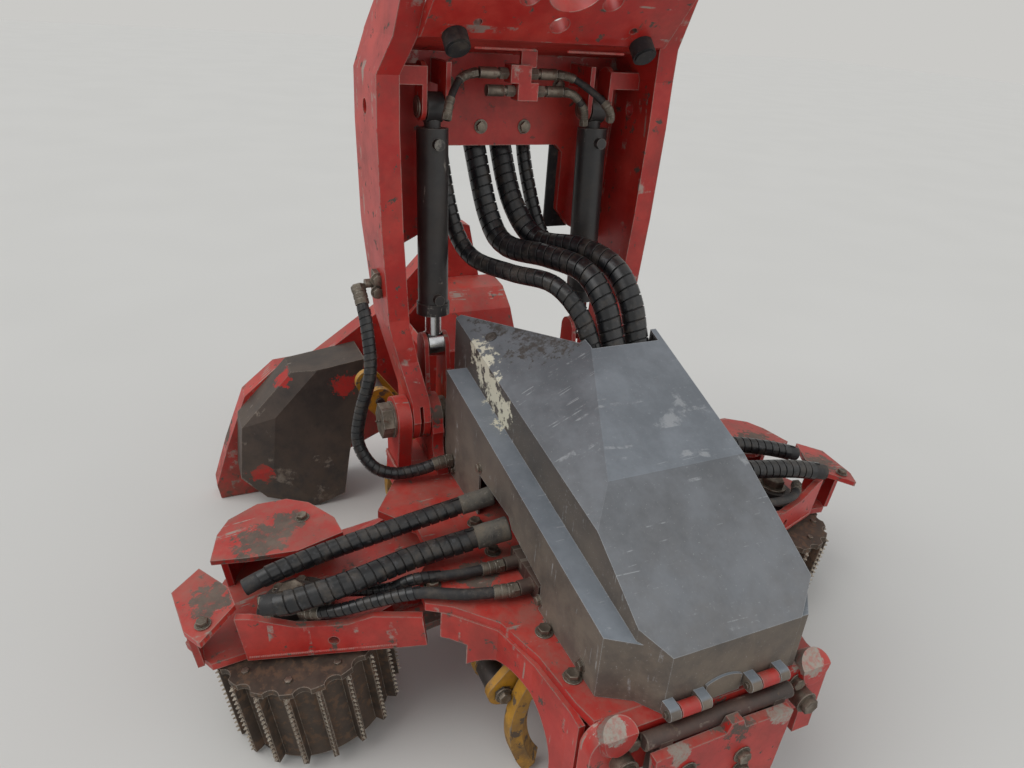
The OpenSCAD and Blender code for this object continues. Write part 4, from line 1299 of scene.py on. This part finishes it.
@dataclass(frozen=True)
class LinkTrim:
    """Bolts, weld beads, pin clips and the hose shelf of the tilt link.

    The shelf leans with the ends of the main lines. A port is a line's y, its radius and how far
    its end stays below the others.
    """

    back_x: float = -178.0
    back_bolts: tuple[Point, ...] = ((-150, 1330), (150, 1330), (-60, 1230), (60, 1230))
    bar_bolts: tuple[Point, ...] = ((-50, -364, 862), (-50, -364, 894))
    clip_at: Point = (-100, 1285)
    clip_y: tuple[float, float] = (176, 252)
    welds: tuple[Weld, ...] = (
        Weld((-177, 296, 1010), (-177, 313, 1230), 9),
        Weld((-177, 150, 1401), (-177, 20, 1401), 8),
        Weld((66, 180, 1424), (66, 40, 1424), 8),
    )
    shelf_at: Point = (-262, 0, 1262)
    shelf_lean: float = 0.369
    shelf_gap: float = 10.0
    shelf_thick: float = 10.0
    shelf_y: tuple[float, float] = (-188, 124)
    shelf_depth: float = 50.0
    rib_y: tuple[float, float] = (-108, 60)
    rib_thick: float = 8.0
    rib_height: float = 70.0
    ports: tuple[Point, ...] = ((-150, 22, -24), (-62, 29, 0), (20, 29, 0), (90, 19, -12))

    def shelf(self, place: Matrix, top: float, red: bpy.types.Material) -> None:
        """Adds the shelf with its two ribs, sawn off flush in the link's back plate.

        Args:
            place: Place of the main lines' ends, with the shelf's lean.
            top: Height of the shelf's upper face over them.
            red: Its finish.
        """
        lean = self.shelf_lean
        wall, _ = surface("link_back", (-600, -30, self.shelf_at[2] + 40), (1, 0, 0))
        reach = (wall.x - self.shelf_at[0] + 2) / math.cos(lean)
        flush = ((reach + top * math.tan(lean), 0, top), (math.cos(lean), 0, -math.sin(lean)))
        slope = ((-20, 0, top + 10), Vector((-self.rib_height, 0, reach + 20)).normalized())
        low_y, high_y = self.shelf_y
        parts = [Plate((-self.shelf_depth, low_y, self.shelf_gap), (reach + 40, high_y, top), (flush,))]
        for y in self.rib_y:
            parts.append(Plate((-20, y - self.rib_thick / 2, top - 1),
                               (reach + 60, y + self.rib_thick / 2, top + self.rib_height), (flush, slope)))
        made = join("hose_shelf", [part.build() for part in parts])
        made.data.transform(place)
        settle(paint(made, red), "link")

    def adapters(self, place: Matrix, top: float, steel: bpy.types.Material) -> None:
        """Adds each main line's adapter through the shelf, with its nut and cap.

        Args:
            place: Place of the main lines' ends, with the shelf's lean.
            top: Height of the shelf's upper face over them.
            steel: Their finish.
        """
        parts = []
        for y, r, drop in self.ports:
            stub = [(drop - 2, 0), (drop - 2, r * 0.62), (top, r * 0.62), (top, 0)]
            nut = [(top - 0.5, 0), (top - 0.5, r), (top + 11, r), (top + 13, r * 0.9), (top + 13, 0)]
            cap = [(top + 12, 0), (top + 12, r * 0.7), (top + 26, r * 0.7), (top + 29, r * 0.6),
                   (top + 29, 0)]
            for sides, profile in ((20, stub), (6, nut), (20, cap)):
                part = turned(profile, sides)
                part.data.transform(place @ Matrix.Translation((0, y / 1000, 0)) @ UPRIGHT)
                parts.append(part)
        made = join("hose_adapters", parts)
        smooth(made, 30)
        settle(paint(made, steel), "link")

    def clips(self, steel: bpy.types.Material) -> None:
        """Adds the spring clips at the ends of the cylinders' upper pins.

        Args:
            steel: Their finish.
        """
        rings = []
        x, z = self.clip_at
        for s in (-1, 1):
            for y in self.clip_y:
                clip = turned([(-1.5, 17), (-1.5, 24), (-0.5, 25), (1.5, 25), (2.5, 24), (2.5, 17),
                               (-1.5, 17)], 24)
                clip.data.transform(facing((x, s * y, z), (0, s, 0)) @ UPRIGHT)
                rings.append(paint(clip, steel))
        made = join("pin_clips", rings)
        smooth(made, 40)
        settle(made, "link")

    def build(self, look: "Finishes") -> None:
        """Adds all the trim of the link.

        Args:
            look: The head's finishes.
        """
        place = Matrix.Translation(metres(self.shelf_at)) @ Matrix.Rotation(-self.shelf_lean, 4, "Y")
        top = self.shelf_gap + self.shelf_thick
        self.shelf(place, top, look.red)
        self.adapters(place, top, look.pin)
        places = [facing((self.back_x, y, z), (1, 0, 0), 15) for y, z in self.back_bolts]
        places += [facing(spot, (1, 0, 0), 10) for spot in self.bar_bolts]
        settle(join("link_bolts", spread(Bolt(15).build(look.pin), places)), "link")
        beads = [weld.on(s).build(look.red) for s in (-1, 1) for weld in self.welds]
        settle(join("link_welds", beads), "link")
        self.clips(look.pin)


@dataclass(frozen=True)
class CoverTrim:
    """Round plug on top of the cover and the bolts along its left side."""

    plug_at: Point = (110, -126)
    bolts: tuple[Point, ...] = ((130, 430), (300, 540), (640, 430), (820, 430))

    def build(self, look: "Finishes") -> None:
        """Adds the plug and the bolts where the faces of the cover are.

        Args:
            look: The head's finishes.
        """
        spot, normal = surface("cover", (*self.plug_at, 1000), (0, 0, -1))
        plug = turned([(-1, 0), (-1, 15), (2.5, 15), (3.5, 13.5), (3.5, 9), (2.2, 8), (2.2, 0)], 28)
        plug.data.transform(facing(spot, normal) @ UPRIGHT)
        smooth(paint(plug, look.black), 35)
        plug.name = "cover_plug"
        settle(plug, "cover")
        places = []
        for x, z in self.bolts:
            spot, normal = surface("cover", (x, -500, z), (0, 1, 0))
            places.append(facing(spot, normal, 11))
        settle(join("cover_bolts", spread(Bolt(11).build(look.pin), places)), "cover")


@dataclass(frozen=True)
class SawTrim:
    """Chain round the saw bar and the bolts on the back of the saw box."""

    hub: Point = (-80, 470)
    nose: Point = (-640.2, 109.9)
    hub_r: float = 70.0
    nose_r: float = 60.0
    proud: float = 3.0
    x: float = -594.0
    pitch: float = 19.0
    link_size: Point = (16.0, 7.5, 7.0)
    link_lift: float = 1.5
    link_rim: float = 1.6
    cutter_size: Point = (4.5, 2.0, 6.0)
    cutter_at: Point = (3.0, 0.0, 7.5)
    back_x: float = -628.2
    back_bolts: tuple[Point, ...] = (
        (20, 420), (60, 640), (10, 780), (-200, 560), (-420, 420), (-640, 250), (-680, 60), (-420, 40))

    @staticmethod
    def arc(centre: Vector, radius: float, start: float, end: float) -> list[Vector]:
        """Points of an arc, about 4 mm apart.

        Args:
            centre: Its centre.
            radius: Its radius.
            start: Angle of its first point in radians.
            end: Angle of its last point.

        Returns:
            The points.
        """
        n = max(2, int(abs(end - start) * radius / 4))
        angles = [start + (end - start) * k / n for k in range(n + 1)]
        return [centre + radius * Vector((math.cos(t), math.sin(t))) for t in angles]

    def track(self) -> list[tuple[Vector, Vector]]:
        """The chain's way round the bar, in Y and Z.

        Returns:
            Place in mm and direction of every link.
        """
        a, b = Vector(self.hub), Vector(self.nose)
        along = (b - a).normalized()
        lean = math.acos((self.hub_r - self.nose_r) / (b - a).length)
        base = math.atan2(along.y, along.x)
        outline = self.arc(a, self.hub_r + self.proud, base + lean, base + 2 * math.pi - lean)
        outline += self.arc(b, self.nose_r + self.proud, base - lean, base + lean)
        outline.append(outline[0])
        total = sum((q - p).length for p, q in zip(outline, outline[1:]))
        count = int(total / self.pitch)
        made, gone, goal = [], 0.0, 0.0
        for p, q in zip(outline, outline[1:]):
            step = (q - p).length
            while goal < gone + step and len(made) < count:
                made.append((p + (q - p) * (goal - gone) / step, (q - p).normalized()))
                goal += total / count
            gone += step
        return made

    def link(self, steel: bpy.types.Material) -> bpy.types.Object:
        """One link of the chain: a plate with a raised cutter in front.

        Args:
            steel: Its finish.

        Returns:
            The link, along X with its cutter up.
        """
        bpy.ops.object.select_all(action="DESELECT")
        bpy.ops.mesh.primitive_cube_add(
            size=1, location=(0, 0, self.link_lift / 1000), scale=Vector(self.link_size) / 1000)
        made = bpy.context.object
        bpy.ops.object.transform_apply(location=True, scale=True)
        modify(made, "BEVEL", width=self.link_rim / 1000, segments=1, limit_method="ANGLE")
        foot, tip, height = (size / 1000 for size in self.cutter_size)
        bpy.ops.object.select_all(action="DESELECT")
        bpy.ops.mesh.primitive_cone_add(
            vertices=4, radius1=foot, radius2=tip, depth=height, location=Vector(self.cutter_at) / 1000,
            rotation=(0, 0, math.pi / 4))
        cutter = bpy.context.object
        bpy.ops.object.transform_apply(location=True, rotation=True)
        return paint(join("link", [made, cutter]), steel)

    def build(self, look: "Finishes") -> None:
        """Adds the chain and the bolts of the box.

        Args:
            look: The head's finishes.
        """
        places = []
        for spot, way in self.track():
            along = Vector((0, way.x, way.y))
            out = Vector((0, way.y, -way.x))
            turn = Matrix((along, out.cross(along), out)).transposed().to_4x4()
            places.append(Matrix.Translation(metres((self.x, spot.x, spot.y))) @ turn)
        settle(join("saw_chain", spread(self.link(look.saw), places)), "saw_bar")
        places = [facing((self.back_x, y, z), (-1, 0, 0), 21) for y, z in self.back_bolts]
        settle(join("saw_box_bolts", spread(Bolt(15).build(look.pin), places)), "frame")


@dataclass(frozen=True)
class KnifeTrim:
    """Bolts on the ends of the knives' pins and at the cylinders' eyes."""

    eye: Point = (672.2, 300, 225)
    pin: Point = (978.2, 205, 330)

    def build(self, look: "Finishes") -> None:
        """Adds the knives' fasteners.

        Args:
            look: The head's finishes.
        """
        x, y, z = self.eye
        for s, name in SIDES:
            bolts = spread(Bolt(16).build(look.pin), [facing((x, s * y, z), (1, 0, 0), 10)])
            settle(join(f"knife_eye_cap_{name}", bolts), f"knife_front_{name}")
        x, y, z = self.pin
        bolts = spread(Bolt(20).build(look.pin), [facing((x, s * y, z), (1, 0, 0), 14) for s, _ in SIDES])
        settle(join("knife_pin_caps", bolts), "frame")


@dataclass(frozen=True)
class Finishes:
    """Every finish of the head and the nodes that take it."""

    # The red plates: sun-faded paint with a brown film, chips and bright corner bosses.
    red: bpy.types.Material = field(default_factory=lambda: Enamel(
        "worn_red_enamel", "#ac1f1a", "#bd382e",
        worn=((215, -709, 394, 62), (180, -650, 402, 40), (355, -832, 376, 46), (501, -382, 290, 60),
              (215, 709, 394, 55), (355, 832, 376, 50), (-640, -700, 200, 60), (-640, -300, 480, 50),
              (500, -300, 405, 40), (980, 0, 372, 40), (0, -345, 529, 30), (60, -240, 560, 26)),
        bare=((950, -237, 425, 36), (958, 215, 418, 36), (1000, -120, 366, 24),
              (1000, 110, 368, 24))).material())
    # The dark parts of the frame: flat brown-black paint, rubbed to steel on the edges.
    dark: bpy.types.Material = field(default_factory=lambda: Enamel(
        "dark_frame_enamel", "#312a27", "#463b34", primer="#5b4a3d", steel="#8f8478", dust="#75675a",
        chips=0.63, edge_mm=6.0, edge_share=0.85, dust_share=0.3, mud_top=420, rough=0.5).material())
    # The saw's guard: the same dark paint, with red showing where it has come off.
    guard: bpy.types.Material = field(default_factory=lambda: Enamel(
        "dark_enamel_over_red", "#312a27", "#4b3f37", primer="#b0261f", steel="#8f8478", dust="#75675a",
        grime="#463a32", chips=0.70, edge_mm=6.0, edge_share=0.9, dust_share=0.3, mud_top=420, rough=0.5,
        worn=((-432, -643, 145, 34), (-420, -375, 428, 40), (-470, -560, 460, 36))).material())
    # The tilt cylinders: glossy black with small chips and a little dust.
    black: bpy.types.Material = field(default_factory=lambda: Enamel(
        "black_cylinder_enamel", "#222122", "#353231", primer="#5b5048", steel="#8d8880", dust="#6e6154",
        grime="#40372f", chips=0.66, edge_mm=2.5, dust_share=0.25, mud_top=250, rough=0.36,
        scratch_mm=70).material())
    # The knives: yellow paint, mostly under brown grease and sap.
    yellow: bpy.types.Material = field(default_factory=lambda: Enamel(
        "worn_yellow_enamel", "#c48e1c", "#ab7a24", primer="#5b4c3c", steel="#8d867b", grime="#57432c",
        chips=0.55, edge_mm=4.0, film=0.65, dust_share=0.45, mud_top=330, mud_share=0.8, rough=0.45,
        scratch_mm=80).material())
    # The hose cover: slate paint, a torn pale patch on its left slope, dark brown raised patches at its rear,
    # and a top painted lighter for dust and the sky's sheen.
    cover: bpy.types.Material = field(default_factory=lambda: CoverPaint(
        torn=((120, -167, 748, 40), (175, -167, 722, 42), (235, -167, 702, 42), (300, -167, 680, 38)),
        rear_dark_patches=((120, 60, 800, 110), (200, -20, 815, 90), (60, -60, 790, 80))).material())
    # The feed rollers: cast steel, dull and brown with mud, its ribs rubbed bright.
    roller: bpy.types.Material = field(default_factory=lambda: Steel(
        "muddy_roller_steel", colour="#473d35", second="#5a4c41", rust="#66503f", rust_from=0.5, rough=0.6,
        metal=0.3, grain_mm=9.0, edge_mm=3.5, edge="#a3988a").material())
    # The rollers' teeth: hard steel, polished by the wood.
    tooth: bpy.types.Material = field(default_factory=lambda: Steel(
        "bright_tooth_steel", colour="#a79c8c", second="#7d7163", rust_from=0.7, rough=0.4, metal=0.6,
        grain_mm=3.0).material())
    # Pins, nuts and bolts: plated steel, dulled and rusty in places.
    pin: bpy.types.Material = field(default_factory=lambda: Steel(
        "worn_pin_steel", colour="#8a7f72", second="#5f564c", rust_from=0.56, rough=0.42,
        metal=0.7).material())
    # The cylinders' rods: smooth bright chrome.
    chrome: bpy.types.Material = field(default_factory=lambda: Steel(
        "chromed_rod", colour="#c9cacb", second="#b3b4b6", rust_from=0.8, rough=0.12, metal=1.0,
        grain_mm=2.0).material())
    # The saw bar and chain: ground steel with a fine grain.
    saw: bpy.types.Material = field(default_factory=lambda: Steel(
        "ground_saw_steel", colour="#8f8d88", second="#75726c", rust_from=0.66, rough=0.3, metal=0.9,
        grain_mm=2.5).material())
    # Stops, bushes and flaps: matt moulded rubber, dusty.
    rubber: bpy.types.Material = field(default_factory=lambda: Rubber(
        "moulded_rubber", dust_share=0.4, rough=0.6).material())

    def dress(self) -> None:
        """Gives every CAD node its finish by the record's slots."""
        by_slot = {
            "red_paint": self.red, "black_cover": self.cover, "dark_steel": self.dark, "rubber": self.rubber,
            "black_paint": self.black, "chrome": self.chrome, "roller_steel": self.roller,
            "yellow_paint": self.yellow, "saw_steel": self.saw, "pin_steel": self.pin,
        }
        for row in frame["record"]["subparts"]:
            paint(frame["nodes"][row["node"]], by_slot[row["material_slot"]])
        paint(frame["nodes"]["saw_cowl"], self.guard)
        log.info("%d CAD nodes dressed", len(frame["nodes"]))


@dataclass(frozen=True)
class Studio:
    """Floor, light and camera.

    A lamp is its name, where it stands in metres, the width of its light in degrees and its strength.
    """

    lamps: tuple[tuple[str, Point, float, float], ...] = (
        ("key", (-0.2, -2.6, 3.4), 50, 1.3), ("fill", (3.4, 2.4, 2.4), 80, 0.6))
    sky: str = "#e9edf2"
    sky_strength: float = 0.55
    eye: Point = (1.4775, -0.812, 1.510)
    yaw: float = 0.4494
    pitch: float = 0.4645
    roll: float = 0.0711
    focal_px: float = 756.84
    photo_px: int = 1024
    sensor_mm: float = 36.0
    backdrop: str = "#cac9c6"

    def floor(self) -> None:
        """Lays a plain pale floor just under the head."""
        bpy.ops.object.select_all(action="DESELECT")
        bpy.ops.mesh.primitive_plane_add(size=60, location=(0, 0, -0.002))
        floor = bpy.context.object
        floor.name = "floor"
        # Matt pale plaster: no gloss, and a cloud that is barely seen.
        s = Surface("matt_pale_plaster", "#d2d0cb", 0.9, grain_mm=3)
        s.lay("#d4d2cd", 0.9, s.patches(900, 0.3, 0.7, detail=1))
        paint(floor, s.finish(0.05))

    def lights(self) -> None:
        """Sets up the lamps, and an even sky that shows as a plain backdrop."""
        for name, place, width, strength in self.lamps:
            data = bpy.data.lights.new(name, "SUN")
            data.energy = strength
            data.angle = math.radians(width)
            lamp = bpy.data.objects.new(name, data)
            lamp.location = place
            lamp.rotation_euler = (-Vector(place)).to_track_quat("-Z", "Y").to_euler()
            bpy.context.scene.collection.objects.link(lamp)
        world = bpy.data.worlds.new("even_sky")
        world.use_nodes = True
        tree = world.node_tree
        sky = tree.nodes["Background"]
        sky.inputs["Color"].default_value = linear(self.sky)
        sky.inputs["Strength"].default_value = self.sky_strength
        shown: Socket | float = 0.0
        for ray in ("Is Camera Ray", "Is Glossy Ray", "Is Transmission Ray"):
            shown = add(tree, "ShaderNodeMath", {0: shown, 1: add(tree, "ShaderNodeLightPath", out=ray)},
                        operation="MAXIMUM")
        pale = add(tree, "ShaderNodeBackground", {"Color": linear(self.backdrop), "Strength": 1.0})
        mixed = add(tree, "ShaderNodeMixShader", {0: shown, 1: sky.outputs[0], 2: pale})
        tree.links.new(mixed, tree.nodes["World Output"].inputs["Surface"])
        bpy.context.scene.world = world
        bpy.context.scene.view_settings.view_transform = "Standard"

    def camera(self) -> None:
        """Sets up the camera as fitted to the photograph."""
        level = math.cos(self.pitch)
        look = Vector((-math.cos(self.yaw) * level, math.sin(self.yaw) * level, -math.sin(self.pitch)))
        right = look.cross(Vector((0, 0, 1))).normalized()
        up = right.cross(look)
        c, s = math.cos(self.roll), math.sin(self.roll)
        right, up = right * c + up * s, up * c - right * s
        data = bpy.data.cameras.new("camera")
        data.sensor_width = self.sensor_mm
        data.lens = self.focal_px / self.photo_px * self.sensor_mm
        camera = bpy.data.objects.new("camera", data)
        turn = Matrix((right, up, -look)).transposed().to_4x4()
        camera.matrix_world = Matrix.Translation(Vector(self.eye)) @ turn
        bpy.context.scene.collection.objects.link(camera)
        bpy.context.scene.camera = camera

    def build(self) -> None:
        """Sets up the whole studio."""
        self.floor()
        self.lights()
        self.camera()


def clear_defaults() -> None:
    """Removes whatever Blender started with and leaves the frame."""
    known = set(frame["nodes"].values()) | set(frame["bodies"].values())
    for thing in list(bpy.context.scene.objects):
        if thing not in known:
            bpy.data.objects.remove(thing)


def main() -> None:
    """Dresses the solids, models the details and sets up the studio."""
    logging.basicConfig(level=logging.INFO, format="%(message)s")
    clear_defaults()
    look = Finishes()
    look.dress()
    Hoses().build()
    for side, name in SIDES:
        FeedRoller(side, name).build(look)
        RollerArm(side, name).build(look)
    for part in (FrameTrim(), LinkTrim(), CoverTrim(), SawTrim(), KnifeTrim()):
        part.build(look)
    Studio().build()


if __name__ == "__main__":
    main()
